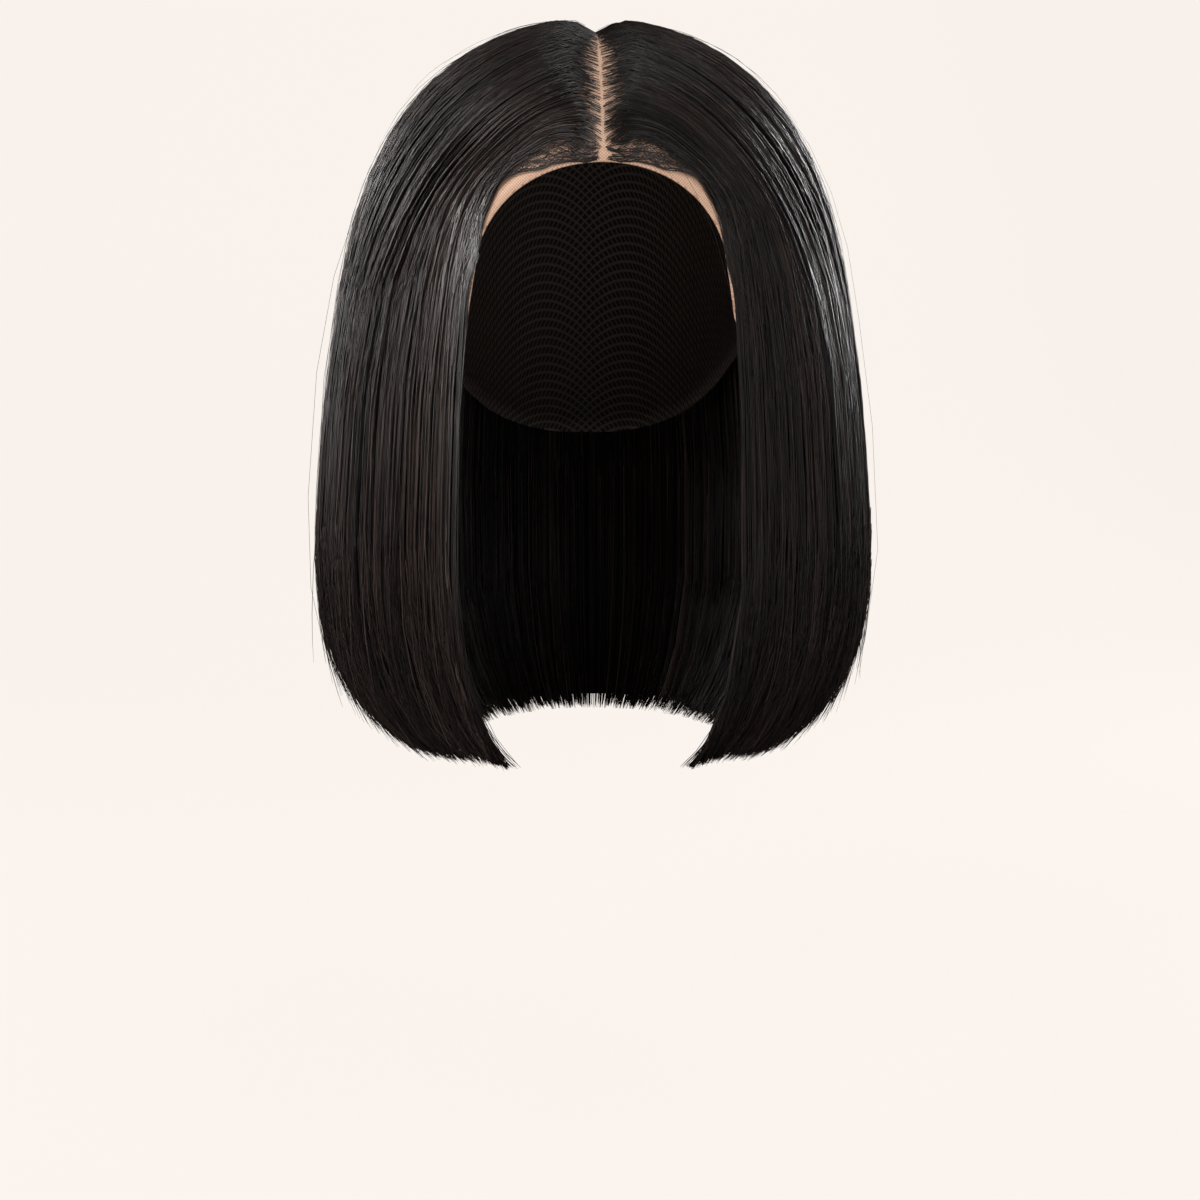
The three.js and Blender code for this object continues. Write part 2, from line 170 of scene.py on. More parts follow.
@dataclass(frozen=True)
class HairLaw:
    """The law of the hair's form, from the head's size and the hair's fullness."""

    half_width: float = 76 * MM
    half_length: float = 98 * MM
    head_dome: float = 105 * MM
    cap_wall: float = 1.2 * MM
    root_seat: float = 0.5 * MM
    root_clearance: float = 1.4 * MM
    top_lift: float = 6.5 * MM
    side_fullness: float = 31.5 * MM
    front_fullness: float = 10 * MM
    cheek_setback: float = 10 * MM
    back_fullness: float = 20 * MM
    drop: float = 297 * MM
    outer_level: float = 115 * MM
    inner_lift: float = 2 * MM
    hairline_depth: float = 55 * MM
    half_opening: float = 50.5 * MM
    parting_width: float = 2 * MM
    panel_gap: float = 0.35 * MM
    edge_thickness: float = 1.6 * MM
    crown_lean: float = math.radians(93)
    whorl_lean: float = math.radians(113)
    crown_share: float = 0.5
    crown_closing: float = 0.08
    hairline_arch: float = 0.31
    arch_reach: float = 0.3
    dome_squareness: float = 2.1
    dome_taper: float = 0.13
    parting_rise: float = 0.085
    crown_rise: float = 0.045
    rise_change: tuple[float, float] = (0.1, 0.4)
    edge_rise: float = 0.16
    seat_reach: float = 0.1
    under_depth: float = 0.5
    under_change: tuple[float, float] = (0.45, 1.0)

    @property
    def hairline_lean(self) -> float:
        """Angle over the head, from straight ahead, of the middle of the hairline."""
        return math.asin(1 - self.hairline_depth / self.head_dome)

    @property
    def outer(self) -> HairFace:
        """The brushed surface."""
        return HairFace(
            side=self.half_width + self.side_fullness,
            front=self.half_length + self.front_fullness,
            cheek=self.half_length - self.cheek_setback,
            back=self.half_length + self.back_fullness,
            dome=self.outer_level + self.top_lift,
            level=-self.outer_level,
            ends=-self.drop,
            squareness=self.dome_squareness,
            taper=self.dome_taper,
            opening=self.half_opening,
            columns="out",
        )

    @property
    def inner(self) -> HairFace:
        """The underside, on the cap."""
        off = self.cap_wall + self.root_seat
        return HairFace(
            side=self.half_width + off,
            front=self.half_length + off,
            cheek=self.half_length + off,
            back=self.half_length + off,
            dome=self.head_dome + off,
            level=-self.head_dome,
            ends=self.inner_lift - self.drop,
            squareness=2.0,
            taper=0.0,
            opening=self.half_opening,
            columns="in",
        )

    def root_direction(self, around: np.ndarray) -> np.ndarray:
        """Direction of the parting or crown where a lock grows.

        Args:
            around: Shares from the front edge to the centre back.

        Returns:
            Directions from the head's centre.
        """
        share = self.crown_share
        parting = mix(self.hairline_lean, self.crown_lean, around / share)
        crown = mix(self.crown_lean, self.whorl_lean, (around - share) / (1 - share))
        lean = np.where(around < share, parting, crown)
        return np.stack([np.zeros_like(lean), -np.cos(lean), np.sin(lean)], axis=-1)

    def fall_direction(self, face: HairFace, around: np.ndarray) -> np.ndarray:
        """Direction that a lock has turned to when it reaches the widest level."""
        turn = mix(math.asin(face.opening / face.side), math.pi, around)
        return np.stack([np.sin(turn), -np.cos(turn), np.zeros_like(turn)], axis=-1)

    def face_point(self, face: HairFace, around: np.ndarray, along: np.ndarray) -> np.ndarray:
        """Finds points on one face of the left half.

        Args:
            face: The brushed surface or the underside.
            around: Shares from the front edge to the centre back.
            along: Shares from the root to the ends.

        Returns:
            The points, in metres.
        """
        angle = np.clip(along, 0, 1) * math.pi / 2
        fade = 1 - smoothstep(around, 0, self.arch_reach)
        arch = self.hairline_arch * fade * np.sin(2 * angle)
        fall = self.fall_direction(face, around)
        over = (
            self.root_direction(around) * np.cos(angle)[..., None]
            + fall * np.sin(angle)[..., None]
            + arch[..., None] * np.array([0, 0, 1.0])
        )
        down = np.clip(along - 1, 0, 1)
        read = {name: read_column(rows, down) for name, rows in CURTAIN.items()}
        scale = {
            "side": read[face.columns + "_side"],
            "cheek": read[face.columns + "_front"],
            "back": read[face.columns + "_back"],
            "level": mix(face.level, face.ends, read["drop"]),
        }
        hanging = (along > 1)[..., None]
        point = np.where(hanging, face.on_dome(fall, scale), face.on_dome(over))
        closing = smoothstep(around, self.crown_share - self.crown_closing, self.crown_share)
        point[..., 0] += mix(self.parting_width, self.panel_gap, closing) / 2
        return point

    def fullness(self, around: np.ndarray, along: np.ndarray) -> np.ndarray:
        """Share of the full thickness: 0 at the hairline and along the parting.

        Args:
            around: Shares from the front edge to the centre back.
            along: Shares from the root to the ends.

        Returns:
            A share for each place.
        """
        reach, change = self.crown_closing, self.rise_change
        closing = smoothstep(around, self.crown_share - reach, self.crown_share + reach)
        rise = along / mix(self.parting_rise, self.crown_rise, smoothstep(around, *change))
        from_parting = mix(smoothstep(rise, 0.0, 1.0), 1.0, closing)
        return from_parting * smoothstep(around, 0, self.edge_rise)

    def section(
        self, around: np.ndarray, along: np.ndarray
    ) -> tuple[np.ndarray, np.ndarray, np.ndarray]:
        """Gives the hair's section at a place.

        Args:
            around: Shares from the front edge to the centre back.
            along: Shares from the root to the ends.

        Returns:
            Points on the brushed surface, outward directions and thicknesses.
        """
        around, along = np.broadcast_arrays(np.asarray(around, float), np.asarray(along, float))
        inner = self.face_point(self.inner, around, along)
        outer = self.face_point(self.outer, around, along)
        full = np.linalg.norm(outer - inner, axis=-1)
        outward = unit(outer - inner)
        thin = np.minimum(self.edge_thickness, full)
        thickness = mix(thin, full, self.fullness(around, along))
        lift = (self.root_clearance - self.root_seat) * smoothstep(along, 0, self.seat_reach)
        surface = inner + outward * (thickness + lift)[..., None]
        return surface, outward, thickness

    def layer_depth(self, along: np.ndarray) -> np.ndarray:
        """Depth at which the top layer ends and the under layer begins."""
        return mix(1.0, self.under_depth, smoothstep(along, *self.under_change))


class Expr:
    """A shader socket that takes part in Python arithmetic through Math nodes."""

    def __init__(self, kit: MaterialKit, socket: bpy.types.NodeSocket) -> None:
        self.kit = kit
        self.socket = socket

    def _math(self, operation: str, first: Expr | float, second: Expr | float) -> Expr:
        """Adds a Math node on two values."""
        values = {0: first, 1: second}
        return self.kit.node("ShaderNodeMath", {"operation": operation}, values)["Value"]

    def __add__(self, other: Expr | float) -> Expr:
        """Adds."""
        return self._math("ADD", self, other)

    __radd__ = __add__

    def __sub__(self, other: Expr | float) -> Expr:
        """Subtracts."""
        return self._math("SUBTRACT", self, other)

    def __rsub__(self, other: float) -> Expr:
        """Subtracts from a number."""
        return self._math("SUBTRACT", other, self)

    def __mul__(self, other: Expr | float) -> Expr:
        """Multiplies."""
        return self._math("MULTIPLY", self, other)

    __rmul__ = __mul__

    def __gt__(self, other: Expr | float) -> Expr:
        """Gives 1 where this is greater."""
        return self._math("GREATER_THAN", self, other)

    def __mod__(self, other: float) -> Expr:
        """Gives the remainder, never below 0."""
        return self._math("FLOORED_MODULO", self, other)

    def greatest(self, other: Expr | float) -> Expr:
        """Gives the greater of two values."""
        return self._math("MAXIMUM", self, other)


Value = Expr | float | tuple[float, ...] | str


class NodeOutputs:
    """The outputs of one node, by name."""

    def __init__(self, kit: MaterialKit, made: bpy.types.Node) -> None:
        """Keeps the node with its kit."""
        self.kit = kit
        self.made = made

    def __getitem__(self, name: str) -> Expr:
        """Wraps the named output."""
        return Expr(self.kit, self.made.outputs[name])


class MaterialKit:
    """Builds one node material."""

    def __init__(self, name: str) -> None:
        """Starts an empty material with its output."""
        self.material = bpy.data.materials.new(name)
        self.material.use_nodes = True
        self.tree = self.material.node_tree
        self.tree.nodes.clear()
        self.output = self.tree.nodes.new("ShaderNodeOutputMaterial")

    def node(
        self,
        kind: str,
        settings: dict[str, object] | None = None,
        inputs: dict[str | int, Value] | None = None,
    ) -> NodeOutputs:
        """Adds a node.

        Args:
            kind: The node's type.
            settings: Properties to set first. A list under "stops" sets a colour ramp.
            inputs: Values or links for its sockets, by name or index.

        Returns:
            The node's outputs.
        """
        made = self.tree.nodes.new(kind)
        for key, value in (settings or {}).items():
            if key == "stops":
                self._set_stops(made.color_ramp, value)
            else:
                setattr(made, key, value)
        for key, value in (inputs or {}).items():
            if isinstance(value, Expr):
                self.tree.links.new(value.socket, made.inputs[key])
            else:
                made.inputs[key].default_value = value
        return NodeOutputs(self, made)

    @staticmethod
    def _set_stops(ramp: bpy.types.ColorRamp, stops: list[tuple[float, tuple[float, ...]]]) -> None:
        """Sets a ramp's stops from (place, colour) pairs.

        Args:
            ramp: The colour ramp.
            stops: Pairs of a place and a colour.
        """
        while len(ramp.elements) < len(stops):
            ramp.elements.new(0.5)
        for element, (place, colour) in zip(ramp.elements, stops):
            element.position = place
            element.color = colour

    def attribute(self, name: str, output: str = "Fac") -> Expr:
        """Reads an attribute of the mesh."""
        return self.node("ShaderNodeAttribute", {"attribute_name": name})[output]

    def finish(self, inputs: dict[str, Value]) -> bpy.types.Material:
        """Ends the material in one Principled shader with these inputs."""
        shader = self.node("ShaderNodeBsdfPrincipled", None, inputs)["BSDF"]
        self.tree.links.new(shader.socket, self.output.inputs["Surface"])
        return self.material


def rgba(red: float, green: float, blue: float) -> tuple[float, float, float, float]:
    """Turns a colour given in 0 to 255, as a screen shows it, into linear light.

    Args:
        red: The red part.
        green: The green part.
        blue: The blue part.

    Returns:
        The colour with an alpha of 1.
    """
    linear = [
        (c / 255 / 12.92) if c <= 10.3 else ((c / 255 + 0.055) / 1.055) ** 2.4
        for c in (red, green, blue)
    ]
    return (*linear, 1.0)


@dataclass(frozen=True)
class HairFinish:
    """Straight dark hair: many close tones with a soft gloss, and painted shadow that darkens it
    towards the roots.
    """

    name: str = "dark_hair"
    dark: tuple[float, float, float] = (10, 7, 6)
    middle: tuple[float, float, float] = (28, 21, 19)
    light: tuple[float, float, float] = (68, 56, 52)
    # How far the painted shadow darkens the colour at the roots.
    root_painted_shadow: float = 0.25
    roughness: float = 0.3
    rough_spread: float = 0.14
    gloss: float = 0.5
    blotch_scale: float = 28.0
    blotch_strength: float = 0.25
    root_share: float = 1 / 6

    def build(self) -> bpy.types.Material:
        """Builds the material."""
        kit = MaterialKit(self.name)
        tone, along = kit.attribute("tone"), kit.attribute("along")
        place = kit.node("ShaderNodeTexCoord")["Object"]
        blotch = kit.node("ShaderNodeTexNoise", None, {"Vector": place, "Scale": self.blotch_scale})
        # Painted shadow: the colour darkens towards the roots beside the parting, where the hair lies
        # in shade.
        root = (1 - along * (1 / self.root_share)).greatest(0)
        tone_and_root_shadow = tone + (blotch["Fac"] - 0.5) * self.blotch_strength - root * self.root_painted_shadow
        stops = [(0.0, rgba(*self.dark)), (0.5, rgba(*self.middle)), (1.0, rgba(*self.light))]
        colour = kit.node("ShaderNodeValToRGB", {"stops": stops}, {"Fac": tone_and_root_shadow})["Color"]
        rough = (1 - tone) * self.rough_spread + self.roughness
        return kit.finish(
            {"Base Color": colour, "Roughness": rough, "Specular IOR Level": self.gloss}
        )


@dataclass(frozen=True)
class MassFinish:
    """The hair under the strands: matt, with faint streaks down its length, and near black, darker than
    the hair's own colour, as painted shade deep between the strands.
    """

    name: str = "hair_mass"
    # Near-black tones: the hair's own dark colour, darkened as painted shade where the mass shows
    # between the strands.
    dark: tuple[float, float, float] = (7, 4, 4)
    light: tuple[float, float, float] = (16, 11, 10)
    streaks: tuple[float, float, float] = (90.0, 6.0, 1.0)
    roughness: float = 0.8
    gloss: float = 0.08

    def build(self) -> bpy.types.Material:
        """Builds the material."""
        kit = MaterialKit(self.name)
        uv = kit.node("ShaderNodeUVMap", {"uv_map": BAKE_UV})["UV"]
        stretched = kit.node(
            "ShaderNodeVectorMath", {"operation": "MULTIPLY"}, {0: uv, 1: self.streaks}
        )["Vector"]
        streak = kit.node("ShaderNodeTexNoise", None, {"Vector": stretched, "Scale": 1.0})
        stops = [(0.35, rgba(*self.dark)), (0.65, rgba(*self.light))]
        colour = kit.node("ShaderNodeValToRGB", {"stops": stops}, {"Fac": streak["Fac"]})["Color"]
        return kit.finish(
            {"Base Color": colour, "Roughness": self.roughness, "Specular IOR Level": self.gloss}
        )


@dataclass(frozen=True)
class NetFinish:
    """Fine woven net of one colour, with square meshes that follow the surface."""

    name: str
    thread: tuple[float, float, float]
    gap: tuple[float, float, float]
    pitch: float
    roughness: float
    threads_in_pitch: float = 0.7
    hole: float = 0.7
    relief: float = 0.2 * MM
    relief_strength: float = 0.35

    def build(self) -> bpy.types.Material:
        """Builds the material."""
        kit = MaterialKit(self.name)
        uv = kit.node("ShaderNodeUVMap", {"uv_map": BAKE_UV})["UV"]
        split = kit.node("ShaderNodeSeparateXYZ", None, {"Vector": uv})
        across, down = split["X"], split["Y"]
        density = self.threads_in_pitch / self.pitch
        first = ((across + down) * density) % 1.0
        second = ((across - down) * density) % 1.0
        thread = (first > self.hole).greatest(second > self.hole)
        colour = kit.node(
            "ShaderNodeMix",
            {"data_type": "RGBA"},
            {"Factor": thread, 6: rgba(*self.gap), 7: rgba(*self.thread)},
        ).made.outputs[2]
        raised = {"Strength": self.relief_strength, "Distance": self.relief, "Height": thread}
        normal = kit.node("ShaderNodeBump", None, raised)["Normal"]
        return kit.finish(
            {"Base Color": Expr(kit, colour), "Roughness": self.roughness, "Normal": normal}
        )


@dataclass(frozen=True)
class PaperFinish:
    """Pale matt paper that glows a little, for the studio."""

    name: str = "studio_paper"
    colour: tuple[float, float, float] = (50, 48, 46)
    glow: tuple[float, float, float] = (249, 242, 236)
    glow_strength: float = 0.965

    def build(self) -> bpy.types.Material:
        """Builds the material."""
        kit = MaterialKit(self.name)
        return kit.finish(
            {
                "Base Color": rgba(*self.colour),
                "Roughness": 0.95,
                "Specular IOR Level": 0.0,
                "Emission Color": rgba(*self.glow),
                "Emission Strength": self.glow_strength,
            }
        )


def new_object(name: str, mesh: bpy.types.Mesh) -> bpy.types.Object:
    """Puts a mesh in the scene as an object at the origin."""
    made = bpy.data.objects.new(name, mesh)
    bpy.context.scene.collection.objects.link(made)
    return made


def grid_faces(rows: int, columns: int, start: int = 0, flip: bool = False) -> np.ndarray:
    """Lists the quads of a grid of vertices.

    Args:
        rows: Number of rows of vertices.
        columns: Number of vertices in a row.
        start: Index of the first vertex.
        flip: Whether the faces look the other way.

    Returns:
        An array with a row of four vertices for each face.
    """
    r, c = np.meshgrid(np.arange(rows - 1), np.arange(columns - 1), indexing="ij")
    a = start + (r * columns + c).ravel()
    quads = np.stack([a, a + columns, a + columns + 1, a + 1], axis=1)
    return quads[:, ::-1] if flip else quads


def wall_faces(rows: int, columns: int, flip: bool) -> np.ndarray:
    """Lists the quads of a closed wall between two matching grids, outer vertices first.

    Args:
        rows: Number of rows of vertices in each grid.
        columns: Number of vertices in a row.
        flip: Whether the faces look the other way.

    Returns:
        An array with a row of four vertices for each face.
    """
    size = rows * columns
    outer = grid_faces(rows, columns)
    inner = grid_faces(rows, columns, size, True)
    last = columns * (rows - 1)
    ring = np.concatenate(
        [
            np.arange(columns),
            np.arange(1, rows) * columns + columns - 1,
            last + np.arange(columns - 2, -1, -1),
            np.arange(rows - 2, 0, -1) * columns,
        ]
    )
    following = np.roll(ring, -1)
    rim = np.stack([ring, following, following + size, ring + size], axis=1)
    quads = np.concatenate([outer, inner, rim])
    return quads[:, ::-1] if flip else quads


@dataclass
class StrandSet:
    """Paths of many strands that have the same number of points."""

    points: np.ndarray
    radius: np.ndarray
    tone: np.ndarray
    along: np.ndarray

    def triangles(self, sides: int) -> int:
        """Number of triangles that the strands give."""
        count, steps = self.radius.shape
        return count * (2 * sides * (steps - 1) + 2 * (sides - 2))


class StrandSweep:
    """A Geometry Nodes tree that sweeps paths into thin closed tubes."""

    SIDES = 3
    PALETTE_COLUMNS = 320
    PALETTE_ROWS = 6
    STRIP_WIDTH = 0.8
    STRIP_LENGTH = 0.96
    MASS_LENGTH = 0.94

    def __init__(self, material: bpy.types.Material) -> None:
        """Builds the tree for one material."""
        self.material = material
        self.tree = bpy.data.node_groups.new("strand_sweep", "GeometryNodeTree")
        self._build()

    def _socket(self, name: str, kind: str, direction: str = "INPUT") -> None:
        """Adds a socket to the tree's interface."""
        self.tree.interface.new_socket(name=name, in_out=direction, socket_type=kind)

    def _node(
        self, kind: str, inputs: dict[str, object] | None = None, **settings: object
    ) -> bpy.types.Node:
        """Adds a node with its settings, values and links.

        Args:
            kind: The node's type.
            inputs: Values or links for its sockets, by name or index.
            **settings: Properties to set first.

        Returns:
            The node.
        """
        made = self.tree.nodes.new(kind)
        for key, value in settings.items():
            setattr(made, key, value)
        for key, value in (inputs or {}).items():
            if isinstance(value, bpy.types.NodeSocket):
                self.tree.links.new(value, made.inputs[key])
            else:
                made.inputs[key].default_value = value
        return made

    def _build(self) -> None:
        """Builds the tree: paths to curves, curves to tubes, and a place on the bake palette."""
        self._socket("Paths", "NodeSocketGeometry")
        self._socket("Sides", "NodeSocketInt")
        self._socket("Thickness", "NodeSocketFloat")
        self._socket("Material", "NodeSocketMaterial")
        self._socket("Tubes", "NodeSocketGeometry", "OUTPUT")
        given = self.tree.nodes.new("NodeGroupInput")
        curves = self._node("GeometryNodeMeshToCurve", {"Mesh": given.outputs["Paths"]})
        profile = self._node(
            "GeometryNodeCurvePrimitiveCircle", {"Resolution": given.outputs["Sides"], "Radius": 1.0}
        )
        turn = self._node("GeometryNodeSplineParameter")
        marked = self._node(
            "GeometryNodeStoreNamedAttribute",
            {"Geometry": profile.outputs["Curve"], "Name": "turn", "Value": turn.outputs["Factor"]},
            data_type="FLOAT",
            domain="POINT",
        )
        radius = self._node("GeometryNodeInputNamedAttribute", {"Name": "thickness"}, data_type="FLOAT")
        scale = self._node(
            "ShaderNodeMath",
            {0: radius.outputs["Attribute"], 1: given.outputs["Thickness"]},
            operation="MULTIPLY",
        )
        tubes = self._node(
            "GeometryNodeCurveToMesh",
            {
                "Curve": curves.outputs["Curve"],
                "Profile Curve": marked.outputs["Geometry"],
                "Scale": scale.outputs["Value"],
                "Fill Caps": True,
            },
        )
        smooth = self._node("GeometryNodeSetShadeSmooth", {"Geometry": tubes.outputs["Mesh"]})
        palette = self._palette_place()
        placed = self._node(
            "GeometryNodeStoreNamedAttribute",
            {"Geometry": smooth.outputs["Geometry"], "Name": BAKE_UV, "Value": palette},
            data_type="FLOAT2",
            domain="CORNER",
        )
        real = self._node("GeometryNodeRealizeInstances", {"Geometry": placed.outputs["Geometry"]})
        dressed = self._node(
            "GeometryNodeSetMaterial",
            {"Geometry": real.outputs["Geometry"], "Material": given.outputs["Material"]},
        )
        result = self.tree.nodes.new("NodeGroupOutput")
        self.tree.links.new(dressed.outputs["Geometry"], result.inputs["Tubes"])

    def _palette_place(self) -> bpy.types.NodeSocket:
        """Gives each strand its own strip of the bake palette, across it by the tube's turn."""
        named = "GeometryNodeInputNamedAttribute"
        strip = self._node(named, {"Name": "strip"}, data_type="FLOAT_VECTOR")
        turn = self._node(named, {"Name": "turn"}, data_type="FLOAT")
        width = self.STRIP_WIDTH / self.PALETTE_COLUMNS
        across = self._node(
            "ShaderNodeMath", {0: turn.outputs["Attribute"], 1: width}, operation="MULTIPLY"
        )
        shift = self._node("ShaderNodeCombineXYZ", {"X": across.outputs["Value"]})
        total = self._node(
            "ShaderNodeVectorMath",
            {0: strip.outputs["Attribute"], 1: shift.outputs["Vector"]},
            operation="ADD",
        )
        return total.outputs["Vector"]

    def mesh(self, name: str, sets: list[StrandSet]) -> bpy.types.Mesh:
        """Sweeps strands into one mesh.

        Args:
            name: The mesh's name.
            sets: Strands, in sets of equal length.

        Returns:
            A plain mesh of closed tubes.
        """
        paths = self._paths(name, sets)
        holder = new_object(name + "_paths", paths)
        sweep = holder.modifiers.new("sweep", "NODES")
        sweep.node_group = self.tree
        values = {"Sides": self.SIDES, "Thickness": 1.0, "Material": self.material}
        for item in self.tree.interface.items_tree:
            if item.name in values:
                sweep[item.identifier] = values[item.name]
        graph = bpy.context.evaluated_depsgraph_get()
        made = bpy.data.meshes.new_from_object(holder.evaluated_get(graph), depsgraph=graph)
        made.name = name
        bpy.data.objects.remove(holder)
        bpy.data.meshes.remove(paths)
        return made

    def _paths(self, name: str, sets: list[StrandSet]) -> bpy.types.Mesh:
        """Writes the strands' paths as loose edges with their values.

        Args:
            name: The name of the piece.
            sets: Strands, in sets of equal length.

        Returns:
            A mesh of edges and points.
        """
        counts = [s.radius.shape for s in sets]
        columns, rows = self.PALETTE_COLUMNS, self.PALETTE_ROWS
        edges, strips, first, strand = [], [], 0, 0
        for strands, (count, steps) in zip(sets, counts):
            index = first + np.arange(count * steps).reshape(count, steps)
            edges.append(np.stack([index[:, :-1].ravel(), index[:, 1:].ravel()], axis=1))
            number = strand + np.arange(count)
            left = (number % columns) / columns
            low = (number // columns + 1) / rows
            share = strands.along / 2 * (self.STRIP_LENGTH / rows)
            left = np.repeat(left[:, None], steps, 1)
            place = np.stack([left, low[:, None] + share, np.zeros_like(share)], axis=-1)
            strips.append(place.reshape(-1, 3))
            first += count * steps
            strand += count
        points = np.concatenate([s.points.reshape(-1, 3) for s in sets])
        mesh = bpy.data.meshes.new(name + "_paths")
        mesh.vertices.add(len(points))
        mesh.vertices.foreach_set("co", points.astype(np.float32).ravel())
        edges = np.concatenate(edges)
        mesh.edges.add(len(edges))
        mesh.edges.foreach_set("vertices", edges.astype(np.int32).ravel())
        fields = {
            "thickness": np.concatenate([s.radius.ravel() for s in sets]),
            "tone": np.concatenate([np.repeat(s.tone, s.radius.shape[1]) for s in sets]),
            "along": np.concatenate([s.along.ravel() / 2 for s in sets]),
        }
        for field_name, values in fields.items():
            attribute = mesh.attributes.new(field_name, "FLOAT", "POINT")
            attribute.data.foreach_set("value", values.astype(np.float32))
        strip = mesh.attributes.new("strip", "FLOAT_VECTOR", "POINT")
        strip.data.foreach_set("vector", np.concatenate(strips).astype(np.float32).ravel())
        return mesh


# Places along a strand: close together where it bends, over the dome and at the curled ends.
LONG_STATIONS = (
    0.0, 0.03, 0.075, 0.14, 0.22, 0.31, 0.41, 0.52, 0.64, 0.77, 0.93, 1.15, 1.4, 1.6, 1.74, 1.86, 1.94,
    2.0,
)
END_STATIONS = (0.0, 0.45, 0.7, 0.87, 1.0)
INNER_STATIONS = (0.0, 0.12, 0.3, 0.5, 0.68, 0.8, 0.9, 1.0)
BABY_STATIONS = (0.0, 0.12, 0.27, 0.43, 0.6, 0.78, 1.0)

# The range of a wave's phase, a full turn.
PHASES = 6.3


@dataclass
class LockPattern:
    """Where the hair of one side gathers: evenly spaced places round it, with small shifts."""

    rng: np.random.Generator
    count: int
    tone_spread: float
    length_spread: float
    depth: float

    SHIFT = 0.36

    def __post_init__(self) -> None:
        """Draws every lock's place, tone, length, depth and way of wandering."""
        steps = np.arange(self.count) / (self.count - 1)
        shifts = self.rng.uniform(-self.SHIFT, self.SHIFT, self.count) / self.count
        shifts[0] = shifts[-1] = 0.0
        self.middles = steps + shifts
        self.tone = self.rng.normal(0, self.tone_spread, self.count)
        self.length = self.rng.normal(0, self.length_spread, self.count)
        self.sink = self.rng.uniform(0, self.depth, self.count)
        self.phase = self.rng.uniform(0, 2 * math.pi, (self.count, 3))

    def nearest(self, around: np.ndarray) -> np.ndarray:
        """Finds the lock nearest to each place.

        Args:
            around: Shares round the half.

        Returns:
            The number of a lock for each place.
        """
        after = np.clip(np.searchsorted(self.middles, around), 1, self.count - 1)
        before = after - 1
        nearer = around - self.middles[before] < self.middles[after] - around
        return np.where(nearer, before, after)

    def offset(self, around: np.ndarray, lock: np.ndarray) -> np.ndarray:
        """Gives how far a place lies from its lock's middle, as a share of a lock's half width."""
        return (around - self.middles[lock][:, None]) * 2 * self.count


@dataclass(frozen=True)
class Combing:
    """How the strands lie together."""

    broad_locks: int = 52
    wisps: int = 176
    broad_tones: float = 0.08
    wisp_tones: float = 0.12
    strand_tones: float = 0.25
    middle_tone: float = 0.4
    # Tone shift for the strands inside the hair and on its underside: painted shade, darker where the
    # hair lies in its own shadow.
    inner_painted_shade: float = -0.08
    broad_lengths: float = 0.012
    wisp_lengths: float = 0.018
    broad_relief: float = 1.5 * MM
    wisp_relief: float = 0.8 * MM
    wisp_depth: float = 1.6 * MM
    strand_depth: float = 2.3 * MM
    end_inset: float = 4.5 * MM
    swell: float = 0.7 * MM
    broad_wander: float = 0.0035
    wisp_wander: float = 0.0019
    stray: float = 0.0012
    wisp_pull: float = 0.5
    tip_pull: float = 0.62
    tip_lock_pull: float = 0.22
    strand_radius: float = 0.2 * MM
    root_radius: float = 0.14 * MM
    tip_radius: float = 0.05 * MM
    root_lean: float = 0.0175
    root_reach: float = 0.155
    line_cross: float = 0.55 * MM
    root_pitch: float = 0.0055
    root_pull: float = 0.75
    row_reach: tuple[float, float] = (0.01, 0.09)
    lean_reach: float = 0.06
    stray_waves: tuple[float, float] = (2, 6)
    edge_density: float = 0.16
    edge_reach: float = 0.04
    parting_closes: tuple[float, float] = (0.14, 0.08)
    on_line: float = 0.1
    on_line_reach: float = 0.004
    reach_narrows: float = 0.7
    narrows_over: tuple[float, float] = (0.12, 0.45)
    early_share: float = 0.22
    early_tips: tuple[float, float] = (1.64, 1.98)
    level_cut: float = 2.016
    cut_bounds: tuple[float, float] = (1.8, 2.03)
    cut_steps: float = 0.018
    station_shift: float = 0.3
    crown_cross: float = 0.9 * MM
    cross_reach: float = 0.035
    loose_cut: float = 2.01
    root_depths: tuple[float, float] = (0.93, 0.78)
    whorl_depth: float = 2.2 * MM
    whorl_reach: float = 0.06
    crown_root_rise: float = 0.055
    root_taper: float = 0.2
    tip_taper: float = 0.09
    least_size: float = 0.62
    size_spread: float = 0.8


@dataclass(frozen=True)
class FineHairs:
    """A kind of fine hair: where it roots, its length or how much shorter than the cut it is,
    its radius and its tip in millimetres, and its tones."""

    root: tuple[float, float]
    length: tuple[float, float]
    radius: tuple[float, float]
    tip: float
    tones: tuple[float, float]


@dataclass(frozen=True)
class HairlineGrowth:
    """How strands grow along the hairline, over the brow and beside the cheek."""

    over_brow: float = 0.2
    brow: tuple[float, float] = (0.0, 0.75)
    cheek: tuple[float, float] = (0.7, 1.05)
    start: tuple[float, float] = (-0.009, 0.01)
    furthest: float = -0.012
    reach: float = 0.06
    crossing: tuple[float, float] = (0.07, 0.15)
    weave: float = 0.0016
    stray_share: float = 0.35
    stray: float = 0.008
    sink: tuple[float, float] = (-0.2 * MM, 1.0 * MM)
    slimness: float = 0.8


@dataclass(frozen=True)
class BabyGrowth:
    """How the finest hairs lie in waves on the lace in front of the hairline."""

    beside_parting: float = 0.2
    parting_reach: float = 0.03
    rim_middle: float = 0.024
    rim_bulge: float = 0.024
    bulge_end: float = 0.7
    inner_edge: float = 0.012
    outer_edge: float = 0.97
    drift: float = 0.25
    bow: float = 0.3
    weave: float = 0.0024
    height: float = 0.12 * MM
    lift: float = 0.5 * MM


